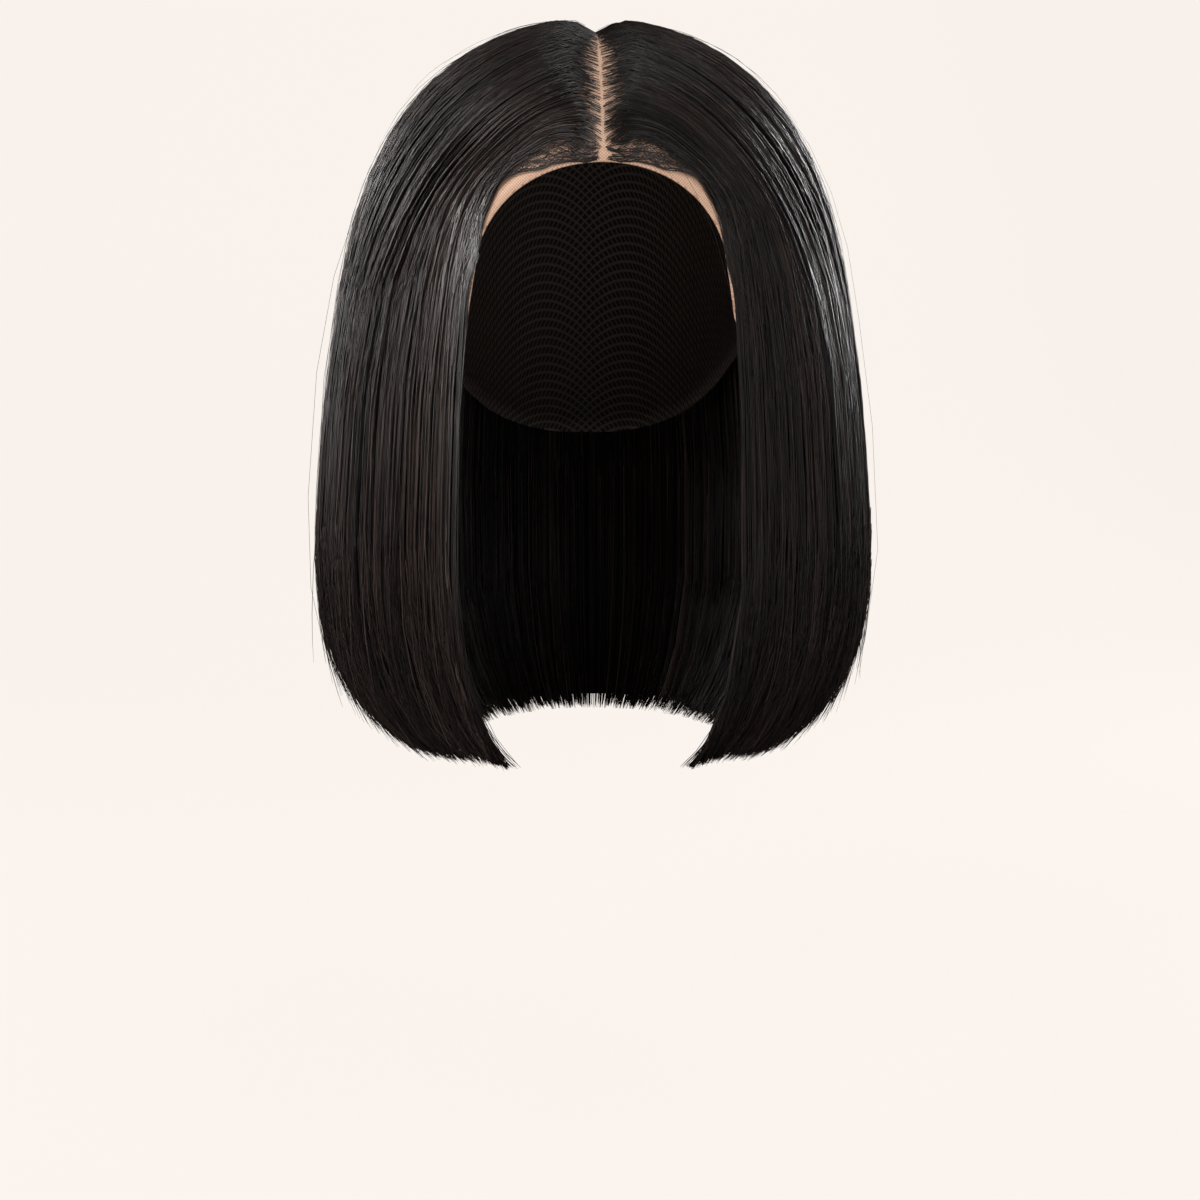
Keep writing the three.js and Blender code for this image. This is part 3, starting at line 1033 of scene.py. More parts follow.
@dataclass(frozen=True)
class CutEnds:
    """How the hair ends: strands inside the cut, and shorter ones that stand off the curl."""

    fill_start: tuple[float, float] = (1.5, 1.74)
    fill_depth: tuple[float, float] = (0.05, 0.97)
    short_tips: tuple[float, float] = (1.6, 2.0)
    short_length: tuple[float, float] = (0.2, 0.42)
    short_sink: tuple[float, float] = (-0.1 * MM, 1.2 * MM)
    kick: float = 1.0 * MM
    inset: float = 2.6 * MM
    slimness: float = 0.85


BABY_HAIRS = FineHairs((0.02, 0.8), (0.1, 0.3), (0.15, 0.22), 0.04, (0.3, 0.75))
FLYAWAYS = FineHairs((0.0, 0.2), (0.0, 0.6), (0.06, 0.1), 0.02, (0.4, 0.9))
CROWN_HAIRS = FineHairs((0.0, 0.3), (0.12, 0.5), (0.05, 0.085), 0.02, (0.4, 0.9))


class Locks:
    """The broad locks and the fine wisps of one side of the head."""

    def __init__(self, combing: Combing, seed: int) -> None:
        """Draws the locks of one side."""
        rng = np.random.default_rng(seed)
        self.combing = combing
        self.broad = LockPattern(
            rng, combing.broad_locks, combing.broad_tones, combing.broad_lengths, 0.0
        )
        self.wisps = LockPattern(
            rng, combing.wisps, combing.wisp_tones, combing.wisp_lengths, combing.wisp_depth
        )


@dataclass
class HairPanel:
    """One panel of the hair on one side, with its strands and the dark mass under them."""

    law: HairLaw
    node: str
    span: tuple[float, float]
    side: Side
    seed: int
    layer: str
    locks: Locks
    strands: int = 0
    end_strands: int = 0
    short_ends: int = 0
    inner_strands: int = 0
    line_strands: int = 0
    baby_hairs: int = 0
    flyaways: int = 0
    crown_hairs: int = 0

    CORE_DEPTH = 2.6 * MM
    CORE_END = 1.9
    CORE_CLOSING = 1.55
    CORE_RISE = 0.09
    CORE_EDGE = 0.5 * MM
    CORE_SKIN = 0.3 * MM
    LINED_SKIN = 2.0 * MM
    CORE_GAP = 0.0011
    CORE_ROWS = 44
    CORE_COLUMNS = 19
    UNDER_START = 0.6
    UNDER_GAP = 0.03
    EDGE_REACH = 0.05
    CHEEK_REACH = 0.004
    BROW_RECESS = 0.003
    BROW_ENDS = (0.6, 1.0)
    TEMPLE_RECESS = 0.034
    TEMPLE_BEGINS = (0.48, 0.74)
    TEMPLE_ENDS = (0.79, 0.96)
    RECESS_REACH = 0.2

    def __post_init__(self) -> None:
        """Seeds the panel's random draws."""
        self.rng = np.random.default_rng(self.seed)
        self.combing = self.locks.combing

    def mirrored(self, points: np.ndarray) -> np.ndarray:
        """Puts points of the left half on this panel's side."""
        points = points.copy()
        points[..., 0] *= self.side.value
        return points

    def _column(self, low: float, high: float, count: int) -> np.ndarray:
        """Draws one number for each strand, as a column."""
        return self.rng.uniform(low, high, (count, 1))

    def _wave(
        self, along: np.ndarray, turns: tuple[float, float], count: int
    ) -> np.ndarray:
        """Gives each strand a wave of its own between -1 and 1 along its length."""
        return np.sin(self._column(*turns, count) * along + self._column(0, PHASES, count))

    def _even_places(self, count: int) -> np.ndarray:
        """Spreads strands evenly over the panel's share of the half."""
        low, high = self.span
        place = (np.arange(count) + self.rng.uniform(0, 1, count)) / count
        return low + (high - low) * place

    def _nearest(self, around: np.ndarray) -> tuple[np.ndarray, np.ndarray]:
        """Finds each strand's wisp and broad lock."""
        return self.locks.wisps.nearest(around), self.locks.broad.nearest(around)

    def depth_range(self, along: np.ndarray) -> tuple[np.ndarray, np.ndarray]:
        """Depths between which this panel lies, as shares of the hair's thickness.

        Args:
            along: Shares along the hair, for each point.

        Returns:
            The least and the greatest depth at each point.
        """
        middle = self.law.layer_depth(along)
        if self.layer == "under":
            return middle + self.UNDER_GAP, np.ones_like(along)
        if self.layer == "top":
            return np.zeros_like(along), middle
        return np.zeros_like(along), np.ones_like(along)

    def _lie(
        self, around: np.ndarray, along: np.ndarray, sink: np.ndarray, from_inside: bool = False
    ) -> np.ndarray:
        """Lays paths at a distance under a face of the hair.

        Args:
            around: Shares round the half, for each point.
            along: Shares along the hair, for each point.
            sink: How far under the face each point lies, in metres.
            from_inside: Whether the face is the underside.

        Returns:
            The points, in metres.
        """
        surface, outward, thickness = self.law.section(around, along)
        sink = np.minimum(sink, 0.9 * thickness)
        if from_inside:
            sink = thickness - sink
        return self.mirrored(surface - outward * sink[..., None])

    def _comb(self, around: np.ndarray, along: np.ndarray) -> tuple[np.ndarray, np.ndarray, np.ndarray]:
        """Lets strands wander, and gathers them into wisps and locks.

        Args:
            around: Where each strand lies round the half before it is combed.
            along: Shares along the hair, for each point.

        Returns:
            Shares round the half for each point, and each strand's wisp and broad lock.
        """
        comb, count = self.combing, len(around)
        wisp, broad = self._nearest(around)
        phase = self.locks.wisps.phase[wisp]
        wide = self.locks.broad.phase[broad]
        loose = smoothstep(along, 0.08, 0.9)
        middle = self.locks.wisps.middles[wisp][:, None]
        middle = middle + comb.wisp_wander * loose * np.sin(2.6 * along + phase[:, :1])
        middle += 0.5 * comb.wisp_wander * loose * np.sin(5.7 * along + phase[:, 1:2])
        waves = 1 + 0.5 * np.sin(3.3 * along + phase[:, 2:3])
        pull = comb.wisp_pull * waves * smoothstep(along, 0.05, 0.5)
        pull = pull + comb.tip_pull * smoothstep(along, 1.62, 2.0) * self._column(0.5, 1.0, count)
        own = comb.stray * self.rng.normal(0, 1, (count, 1))
        own = own * self._wave(along, comb.stray_waves, count) * loose
        place = mix(around[:, None] + own, middle, np.clip(pull, 0, 0.93))
        place += comb.broad_wander * loose * np.sin(1.9 * along + wide[:, :1])
        gather = comb.tip_lock_pull * smoothstep(along, 1.45, 2.05)
        place = mix(place, self.locks.broad.middles[broad][:, None], gather)
        return place, wisp, broad

    def _surface_sink(
        self, around: np.ndarray, along: np.ndarray, wisp: np.ndarray, broad: np.ndarray
    ) -> np.ndarray:
        """Gives how deep each strand lies, so that locks and wisps stand as rounded ridges.

        Args:
            around: Shares round the half, for each point.
            along: Shares along the hair, for each point.
            wisp: Each strand's wisp.
            broad: Each strand's broad lock.

        Returns:
            Depths under the brushed surface, in metres.
        """
        comb, count = self.combing, len(around)
        growth = smoothstep(along, 0.06, 0.7) * smoothstep(around, 0, self.law.edge_rise)
        broad_off = np.clip(self.locks.broad.offset(around, broad), -1, 1)
        wisp_off = np.clip(self.locks.wisps.offset(around, wisp), -1.2, 1.2)
        sink = comb.broad_relief * 0.5 * (1 - np.cos(math.pi * broad_off)) * growth
        sink = sink + comb.wisp_relief * wisp_off**2 * growth
        sink = sink + self.locks.wisps.sink[wisp][:, None] * smoothstep(along, 0.03, 0.4)
        sink = sink + comb.end_inset * smoothstep(along, 1.5, 1.9)
        return sink - comb.swell * growth + comb.strand_depth * self.rng.beta(1.1, 2.3, (count, 1))

    def _thickness(self, along: np.ndarray, start: np.ndarray, tip: np.ndarray) -> np.ndarray:
        """Tapers strands at their roots and tips.

        Args:
            along: Shares along the hair, for each point.
            start: Each strand's share at its root.
            tip: Each strand's share at its tip.

        Returns:
            A radius for each point, in metres.
        """
        comb = self.combing
        grown = smoothstep(along - start, 0, comb.root_taper)
        body = mix(comb.root_radius, comb.strand_radius, grown)
        own = comb.least_size + comb.size_spread * self.rng.beta(1.6, 2.4, (len(along), 1))
        return mix(comb.tip_radius, body * own, smoothstep(tip - along, 0.0, comb.tip_taper))

    def _fine_set(self, points: np.ndarray, along: np.ndarray, kind: FineHairs) -> StrandSet:
        """Gives fine hairs an even radius each, a thin tip and a tone.

        Args:
            points: Points of the hairs.
            along: Shares along the hair, for each point.
            kind: The kind of fine hair.

        Returns:
            The finished set.
        """
        count = len(along)
        radius = np.ones(along.shape) * self._column(*kind.radius, count) * MM
        radius[:, -1] = kind.tip * MM
        return StrandSet(points, radius, self.rng.uniform(*kind.tones, count), along)

    def _tips(self, wisp: np.ndarray, broad: np.ndarray) -> np.ndarray:
        """Gives where each strand ends: a level cut with small steps.

        Args:
            wisp: Each strand's wisp.
            broad: Each strand's broad lock.

        Returns:
            Each strand's share at its tip, as a column.
        """
        comb = self.combing
        short = self.rng.gamma(2.0, comb.cut_steps, len(wisp))
        length = self.locks.wisps.length[wisp] + self.locks.broad.length[broad]
        return np.clip(comb.level_cut + length - short, *comb.cut_bounds)[:, None]

    def _straighten(
        self, points: np.ndarray, wisp: np.ndarray, bounds: tuple[float, float], joint: int
    ) -> np.ndarray:
        """Lets the tips leave the curl in a straighter line.

        Args:
            points: Points of the strands.
            wisp: The wisp of each strand, which straightens as one.
            bounds: Least and greatest share by which a tip straightens.
            joint: Number of points after the one at which it begins.

        Returns:
            The points with straighter tips.
        """
        steps = np.diff(points, axis=1)
        ahead = unit(steps[:, -joint - 1])[:, None, :]
        run = np.cumsum(np.linalg.norm(steps[:, -joint:], axis=-1), axis=1)[..., None]
        own = 0.5 + 0.5 * np.sin(self.locks.wisps.phase[wisp, 1]) + self.rng.normal(0, 0.2, len(wisp))
        share = mix(*bounds, np.clip(own, 0, 1))[:, None, None]
        straight = points[:, -joint - 1 : -joint] + ahead * run
        points[:, -joint:] = mix(points[:, -joint:], straight, share)
        return points

    def _recede(self, around: np.ndarray, along: np.ndarray) -> np.ndarray:
        """Moves dense hair back from the hairline, but not from the edges beside the face.

        Args:
            around: Shares round the half, for each point.
            along: Shares along the hair, for each point.

        Returns:
            Shares round the half, for each point.
        """
        temple = smoothstep(along, *self.TEMPLE_BEGINS) * (1 - smoothstep(along, *self.TEMPLE_ENDS))
        brow = 1 - smoothstep(along, *self.BROW_ENDS)
        back = self.BROW_RECESS * brow + self.TEMPLE_RECESS * temple
        return around + back * np.clip(1 - around / self.RECESS_REACH, 0, 1)

    def _tones(self, wisp: np.ndarray, broad: np.ndarray, shift: float = 0.0) -> np.ndarray:
        """Draws a tone for each strand, close to its wisp's.

        Args:
            wisp: Each strand's wisp.
            broad: Each strand's broad lock.
            shift: How much lighter every strand is.

        Returns:
            A tone from 0 to 1 for each strand.
        """
        own = self.rng.normal(0, self.combing.strand_tones, len(wisp))
        tones = self.combing.middle_tone + shift + own
        tones = tones + self.locks.wisps.tone[wisp] + self.locks.broad.tone[broad]
        return np.clip(tones, 0.0, 1.0)

    def _root_rise(
        self, around: np.ndarray, along: np.ndarray, root: np.ndarray, thickness: np.ndarray
    ) -> np.ndarray:
        """Gives how far under the surface a strand lies while it rises from its root on the cap.

        Args:
            around: Shares round the half, for each point.
            along: Shares along the hair, for each point.
            root: Each strand's share along the hair at its root.
            thickness: The hair's thickness at each point.

        Returns:
            Depths under the brushed surface, in metres.
        """
        share = self.law.crown_share
        comb = self.combing
        closed = smoothstep(around, share - comb.parting_closes[0], share - comb.whorl_reach)
        whorl = smoothstep(around, share, share + comb.whorl_reach)
        deep = mix(mix(*comb.root_depths, closed) * thickness, comb.whorl_depth, whorl)
        change = smoothstep(around, *self.law.rise_change)
        reach = mix(self.law.parting_rise, comb.crown_root_rise, change)
        return deep * (1 - smoothstep(along - root, 0.0, reach))

    def _roots(self, base: np.ndarray) -> np.ndarray:
        """Draws where strands root: a few on the line of the parting, the others behind it.

        Args:
            base: Each strand's share round the half.

        Returns:
            Each strand's share along the hair at its root, as a column.
        """
        comb, count = self.combing, len(base)
        spread = 0.5 - np.sin(np.arcsin(1 - 2 * self.rng.uniform(0.0, 1.0, count)) / 3)
        narrowing = comb.reach_narrows * smoothstep(base, *comb.narrows_over)
        inside = 0.001 + comb.root_reach * (1 - narrowing) * spread
        beside = self.rng.uniform(0, comb.on_line_reach, count)
        return np.where(self.rng.uniform(0, 1, count) < comb.on_line, beside, inside)[:, None]

    def _lean(
        self, base: np.ndarray, around: np.ndarray, grown: np.ndarray, open_part: np.ndarray
    ) -> np.ndarray:
        """Gathers roots into rows, and slants them back from the face beside the parting.

        Args:
            base: Each strand's share round the half.
            around: Shares round the half, for each point.
            grown: How far along the hair each point lies past the root.
            open_part: 1 where the parting is open, down to 0 where it is closed.

        Returns:
            Shares round the half, for each point.
        """
        comb = self.combing
        waves = 0.95 + 0.15 * np.sin(70 * base[:, None])
        lean = comb.root_lean * waves * self._column(0.9, 1.1, len(base))
        lean = np.minimum(lean, 0.8 * base[:, None])
        row = comb.root_pitch * np.round(around[:, :1] / comb.root_pitch)
        pull = comb.root_pull * open_part * (1 - smoothstep(grown, *comb.row_reach))
        return mix(around, row, pull) - lean * (1 - smoothstep(grown, 0, comb.lean_reach)) * open_part

    def surface_strands(self) -> StrandSet:
        """Makes the strands of the brushed surface, from beside the parting to the cut ends."""
        comb = self.combing
        base = self._even_places(self.strands)
        density = mix(comb.edge_density, 1, smoothstep(base, 0, comb.edge_reach))
        base = base[self.rng.uniform(0, 1, self.strands) < density]
        count = len(base)
        closes = self.law.crown_share - np.array(comb.parting_closes)
        open_part = 1 - smoothstep(base, *closes)[:, None]
        root = self._roots(base)
        wisp, broad = self._nearest(base)
        tips = self._tips(wisp, broad)
        early = self._column(0, 1, count) < comb.early_share
        layered = mix(*comb.early_tips, self.rng.beta(1.8, 1.2, (count, 1)))
        tips = np.where(early, layered, tips)
        stations = np.array(LONG_STATIONS)
        shift = self._column(-comb.station_shift, comb.station_shift, count) * np.gradient(stations)
        shift[:, 0] = shift[:, -1] = 0
        along = root + (tips - root) * (stations + shift) / 2
        around, wisp, broad = self._comb(base, along)
        sink = self._surface_sink(around, along, wisp, broad)
        around = self._recede(around, along)
        around = self._lean(base, around, along - root, open_part)
        _, _, thickness = self.law.section(around, along)
        sink = np.maximum(sink, self._root_rise(around, along, root, thickness))
        points = self._lie(around, along, sink)
        cross = comb.line_cross * (1 + 0.7 * smoothstep(base, 0.2, 0.38))[:, None]
        cross = mix(comb.crown_cross, cross * self._column(0.5, 1.4, count), open_part)
        near_root = 1 - smoothstep(along - root, 0, comb.cross_reach)
        points[..., 0] -= self.side.value * cross * near_root
        points = self._straighten(points, wisp, (0.0, 0.7), 2)
        return StrandSet(points, self._thickness(along, root, tips), self._tones(wisp, broad), along)

    def hairline(self) -> StrandSet:
        """Makes the strands that grow along the hairline and fall beside the face."""
        grow, count = HairlineGrowth(), self.line_strands
        over_brow = self._column(0, 1, count) < grow.over_brow
        root = np.where(over_brow, self._column(*grow.brow, count), self._column(*grow.cheek, count))
        tips = self._tips(np.zeros(count, int), self.rng.integers(0, 3, count))
        along = root + (tips - root) * np.array(LONG_STATIONS) / 2
        reach = self.rng.beta(1.0, 2.6, (count, 1)) * grow.reach
        weave = grow.weave * self._wave(along, (5, 14), count)
        fade = 1 - 0.6 * smoothstep(along, 0.7, 1.2)
        crossing = smoothstep((along - root) / self._column(*grow.crossing, count), 0.0, 1.0)
        around = mix(self._column(*grow.start, count), 0.001 + reach, crossing)
        around = self._recede(np.maximum(around + weave * fade, grow.furthest), along)
        wisp = self.locks.wisps.nearest(around[:, -1])
        pull = mix(0.5 * smoothstep(along, 0.7, 1.1), 1.0, smoothstep(along, 1.6, 2.02))
        pull = pull * self._column(0.3, 0.9, count)
        around = mix(around, self.locks.wisps.middles[wisp][:, None], pull)
        stray = self.rng.gamma(1.3, grow.stray, (count, 1))
        stray = stray * (self._column(0, 1, count) < grow.stray_share)
        around = around - stray * smoothstep(along, 1.5, 2.0) ** 1.5
        _, _, thickness = self.law.section(around, along)
        sink = self._column(*grow.sink, count)
        sink = sink + self.locks.wisps.sink[wisp][:, None] * smoothstep(along, 0.4, 1)
        sink = np.maximum(sink, self._root_rise(around, along, root, thickness))
        points = self._lie(around, along, sink)
        points = self._straighten(points, wisp, (0.1, 0.9), 2)
        tones = self._tones(wisp, self.locks.broad.nearest(around[:, -1]))
        radius = grow.slimness * self._thickness(along, root, tips)
        return StrandSet(points, radius, tones, along)

    def babies(self) -> StrandSet:
        """Makes the short fine hairs that lie in waves over the lace in front of the hairline."""
        grow, count = BabyGrowth(), self.baby_hairs
        beside = self._column(0, 1, count) < grow.beside_parting
        near = self._column(0.0, grow.parting_reach, count)
        root = np.where(beside, near, self._column(*BABY_HAIRS.root, count))
        length = self._column(*BABY_HAIRS.length, count)
        share = np.array(BABY_STATIONS)[None, :]
        along = root + length * share
        rim = -grow.rim_middle * (1 - smoothstep(along, 0.5, 0.8))
        rim = rim - grow.rim_bulge * np.sin(math.pi * np.clip(along / grow.bulge_end, 0, 1))
        out = self.rng.beta(1.3, 1.0, (count, 1))
        out = out + self.rng.normal(-0.1, grow.drift, (count, 1)) * share
        out = out + grow.bow * self._column(0, 1, count) * np.sin(math.pi * share**0.8)
        weave = grow.weave * self._wave(share, (4, 9), count)
        around = mix(grow.inner_edge, rim, np.minimum(out, grow.outer_edge)) + weave * share
        around = self._recede(around, along)
        surface, outward, thickness = self.law.section(around, along)
        height = grow.height + self._column(0.0, grow.lift, count) * np.sin(math.pi * share)
        points = self.mirrored(surface - outward * (thickness - height)[..., None])
        return self._fine_set(points, along, BABY_HAIRS)

    def end_fill(self) -> StrandSet:
        """Makes the short strands that fill the hair's thickness at the cut ends."""
        ends, count = CutEnds(), self.end_strands
        base = self.rng.uniform(*self.span, count)
        wisp, broad = self._nearest(base)
        tips = self._tips(wisp, broad)
        start = self._column(*ends.fill_start, count)
        along = start + (tips - start) * np.array(END_STATIONS)
        around, wisp, broad = self._comb(base, along)
        shallow, deep = self.depth_range(along)
        depth = mix(shallow, deep, self._column(*ends.fill_depth, count))
        surface, outward, thickness = self.law.section(around, along)
        points = self.mirrored(surface - outward * (depth * thickness)[..., None])
        points = self._straighten(points, wisp, (0.0, 0.8), 2)
        # The strands inside the cut ends are darkened as painted shade.
        tones = self._tones(wisp, broad, self.combing.inner_painted_shade)
        return StrandSet(points, self._thickness(along, start - 1, tips), tones, along)

    def layered_ends(self) -> StrandSet:
        """Makes the shorter hairs that end above the cut, where their tips stand off the curl."""
        ends, count = CutEnds(), self.short_ends
        base = self.rng.uniform(*self.span, count)
        tips = mix(*ends.short_tips, self.rng.beta(2.2, 1.2, (count, 1)))
        start = tips - self._column(*ends.short_length, count)
        share = np.array(END_STATIONS)[None, :]
        along = start + (tips - start) * share
        around, wisp, broad = self._comb(base, along)
        kick = self.rng.gamma(2.0, ends.kick, (count, 1)) * share**2
        inset = ends.inset * smoothstep(along, 1.45, 1.85)
        sink = self._column(*ends.short_sink, count) + inset - kick
        points = self._straighten(self._lie(around, along, sink), wisp, (0.2, 0.95), 2)
        radius = ends.slimness * self._thickness(along, start - 1, tips)
        return StrandSet(points, radius, self._tones(wisp, broad), along)

    def inner_layer(self) -> StrandSet:
        """Makes the strands of the side that lies next to the neck or the face."""
        count = self.inner_strands
        base = self._even_places(count)
        wisp, broad = self._nearest(base)
        tips = self._tips(wisp, broad)
        begin = self.UNDER_START if self.layer == "under" else 0.3
        start = begin + self._column(0, 0.15, count)
        along = start + (tips - start) * np.array(INNER_STATIONS)
        around, wisp, broad = self._comb(base, along)
        around = self._recede(self._recede(around, along), along)
        sink = self.rng.beta(1.2, 2.0, (count, 1)) * 2.2 * MM
        sink = sink + self.locks.wisps.sink[wisp][:, None] + 0 * along
        points = self._lie(around, along, sink, from_inside=True)
        points = self._straighten(points, wisp, (0.0, 0.6), 1)
        # The strands next to the neck or face are darkened as painted shade.
        tones = self._tones(wisp, broad, self.combing.inner_painted_shade)
        return StrandSet(points, 1.25 * self._thickness(along, start, tips), tones, along)

    def loose_strands(self) -> StrandSet:
        """Makes the fine hairs that stand off the brushed surface all the way down."""
        count = self.flyaways
        base = self.rng.uniform(*self.span, count)
        tips = self.combing.loose_cut - self._column(*FLYAWAYS.length, count)
        root = self._column(*FLYAWAYS.root, count)
        along = root + (tips - root) * np.array(LONG_STATIONS) / 2.0
        swing = self.rng.normal(0, 0.022, (count, 1))
        weave = 0.006 * self._wave(along, (2, 7), count)
        around = base[:, None] + (swing + weave) * smoothstep(along, 0.2, 1.8)
        around = np.maximum(around, -0.002)
        lift = self.rng.gamma(1.3, 1.3, (count, 1)) * MM
        wave = self._wave(along, (2, 5), count)
        rise = lift * (0.6 + 0.5 * wave) * smoothstep(along - root, 0.04, 0.6)
        points = self._lie(around, along, 0.4 * MM - rise)
        return self._fine_set(points, along, FLYAWAYS)

    def crown_wisps(self) -> StrandSet:
        """Makes the short fine hairs that arch over the crown beside the parting."""
        count = self.crown_hairs
        base = self._column(*self.span, count)
        root = self._column(*CROWN_HAIRS.root, count)
        share = np.array(BABY_STATIONS)[None, :]
        along = root + self._column(*CROWN_HAIRS.length, count) * share
        around = base + self.rng.normal(0, 0.012, (count, 1)) * share
        lift = self.rng.gamma(2.0, 0.9, (count, 1)) * MM
        end = self._column(0.2, 1.0, count)
        rise = lift * np.sin(math.pi * share * (1 - 0.5 * end))
        points = self._lie(around, along, 0.5 * MM - rise)
        return self._fine_set(points, along, CROWN_HAIRS)

    def _core_edge(self, along: np.ndarray) -> np.ndarray:
        """Gives where the dark mass begins round the half: behind the sparse hairline.

        Args:
            along: Shares along the hair.

        Returns:
            Shares round the half.
        """
        low, _ = self.span
        if low > 0:
            return low + self.CORE_GAP + 0 * along
        return mix(self.EDGE_REACH, self.CHEEK_REACH, smoothstep(along, 0.8, 1.2))

    def _core_root(self) -> float:
        """Gives where the dark mass begins along the hair."""
        if self.layer == "under":
            return self.UNDER_START + self.UNDER_GAP
        if self.span[0] >= self.law.crown_share:
            return 0.02
        return mix(0.115, 0.05, smoothstep((self.span[0] + self.span[1]) / 2, 0.16, 0.5))

    def core(self, material: bpy.types.Material) -> bpy.types.Mesh:
        """Builds the mass of hair under the strands as a closed wedge-ended wall; its near-black finish
        is painted shade between the strands.

        Args:
            material: Its finish.

        Returns:
            The mesh of the mass.
        """
        root = self._core_root()
        along = mix(root, self.CORE_END, np.linspace(0, 1, self.CORE_ROWS)[:, None])
        share = np.linspace(0, 1, self.CORE_COLUMNS)[None, :]
        around = mix(self._core_edge(along), self.span[1] - self.CORE_GAP, share)
        along = along + 0 * around
        surface, outward, thickness = self.law.section(around, along)
        shallow, deep = self.depth_range(along)
        top, bottom = shallow * thickness, deep * thickness
        middle = (top + bottom) / 2
        margin = np.minimum(self.CORE_DEPTH, 0.55 * (bottom - top))
        rise = 1 - smoothstep(along, root, root + self.CORE_RISE)
        margin = np.maximum(margin, 0.8 * (bottom - top) * rise)
        close = smoothstep(along, self.CORE_CLOSING, self.CORE_END)
        skin = self.LINED_SKIN if self.inner_strands else self.CORE_SKIN
        foot = bottom - np.minimum(skin, 0.15 * (bottom - top))
        top = mix(top + margin, middle - self.CORE_EDGE / 2, close)
        foot = mix(foot, middle + self.CORE_EDGE / 2, close)
        foot = np.maximum(foot, top + 0.4 * self.CORE_EDGE)
        outer = surface - outward * top[..., None]
        inner = surface - outward * foot[..., None]
        if self.span[1] == 1.0:
            outer[:, -1, 0] = inner[:, -1, 0] = 0.0
        points = self.mirrored(np.concatenate([outer.reshape(-1, 3), inner.reshape(-1, 3)]))
        faces = wall_faces(*along.shape, flip=self.side is Side.RIGHT)
        mesh = bpy.data.meshes.new(self.node + "_mass")
        mesh.from_pydata(points.tolist(), [], faces.tolist())
        mesh.materials.append(material)
        self._place_core(mesh, np.tile((share + 0 * around).ravel(), 2), np.tile(along.ravel(), 2))
        return mesh

    def _place_core(self, mesh: bpy.types.Mesh, share: np.ndarray, along: np.ndarray) -> None:
        """Gives the dark mass its place in the lowest row of the bake palette.

        Args:
            mesh: The mesh of the mass.
            share: Each vertex's share across the panel.
            along: Each vertex's share along the hair.
        """
        corners = np.zeros(len(mesh.loops), np.int32)
        mesh.loops.foreach_get("vertex_index", corners)
        row = StrandSweep.MASS_LENGTH / StrandSweep.PALETTE_ROWS
        uv = np.stack([share, along / 2 * row], axis=1)[corners]
        layer = mesh.uv_layers.new(name=BAKE_UV)
        layer.data.foreach_set("uv", uv.astype(np.float32).ravel())
        mesh.shade_smooth()

    def build(self, sweep: StrandSweep, mass: bpy.types.Material, slot: str) -> bpy.types.Object:
        """Builds the panel in place of its node.

        Args:
            sweep: The tree that sweeps strands into tubes.
            mass: The finish of the hair under the strands.
            slot: Not used.

        Returns:
            The finished piece.
        """
        makers = {
            self.surface_strands: self.strands,
            self.hairline: self.line_strands,
            self.babies: self.baby_hairs,
            self.inner_layer: self.inner_strands,
            self.end_fill: self.end_strands,
            self.layered_ends: self.short_ends,
            self.loose_strands: self.flyaways,
            self.crown_wisps: self.crown_hairs,
        }
        sets = [make() for make, count in makers.items() if count]
        piece = new_object("strands_" + self.node, sweep.mesh("strands_" + self.node, sets))
        core = new_object(self.node + "_mass", self.core(mass))
        both = [piece, core]
        with bpy.context.temp_override(
            active_object=piece, object=piece, selected_objects=both, selected_editable_objects=both
        ):
            bpy.ops.object.join()
        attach(piece, "root")
        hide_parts(self.node)
        log.info("%s: %d triangles", piece.name, triangle_count(piece.data))
        return piece


def triangle_count(mesh: bpy.types.Mesh) -> int:
    """Counts a mesh's triangles.

    Args:
        mesh: The mesh.

    Returns:
        The number of its triangles.
    """
    sizes = np.zeros(len(mesh.polygons), np.int32)
    mesh.polygons.foreach_get("loop_total", sizes)
    return int((sizes - 2).sum())


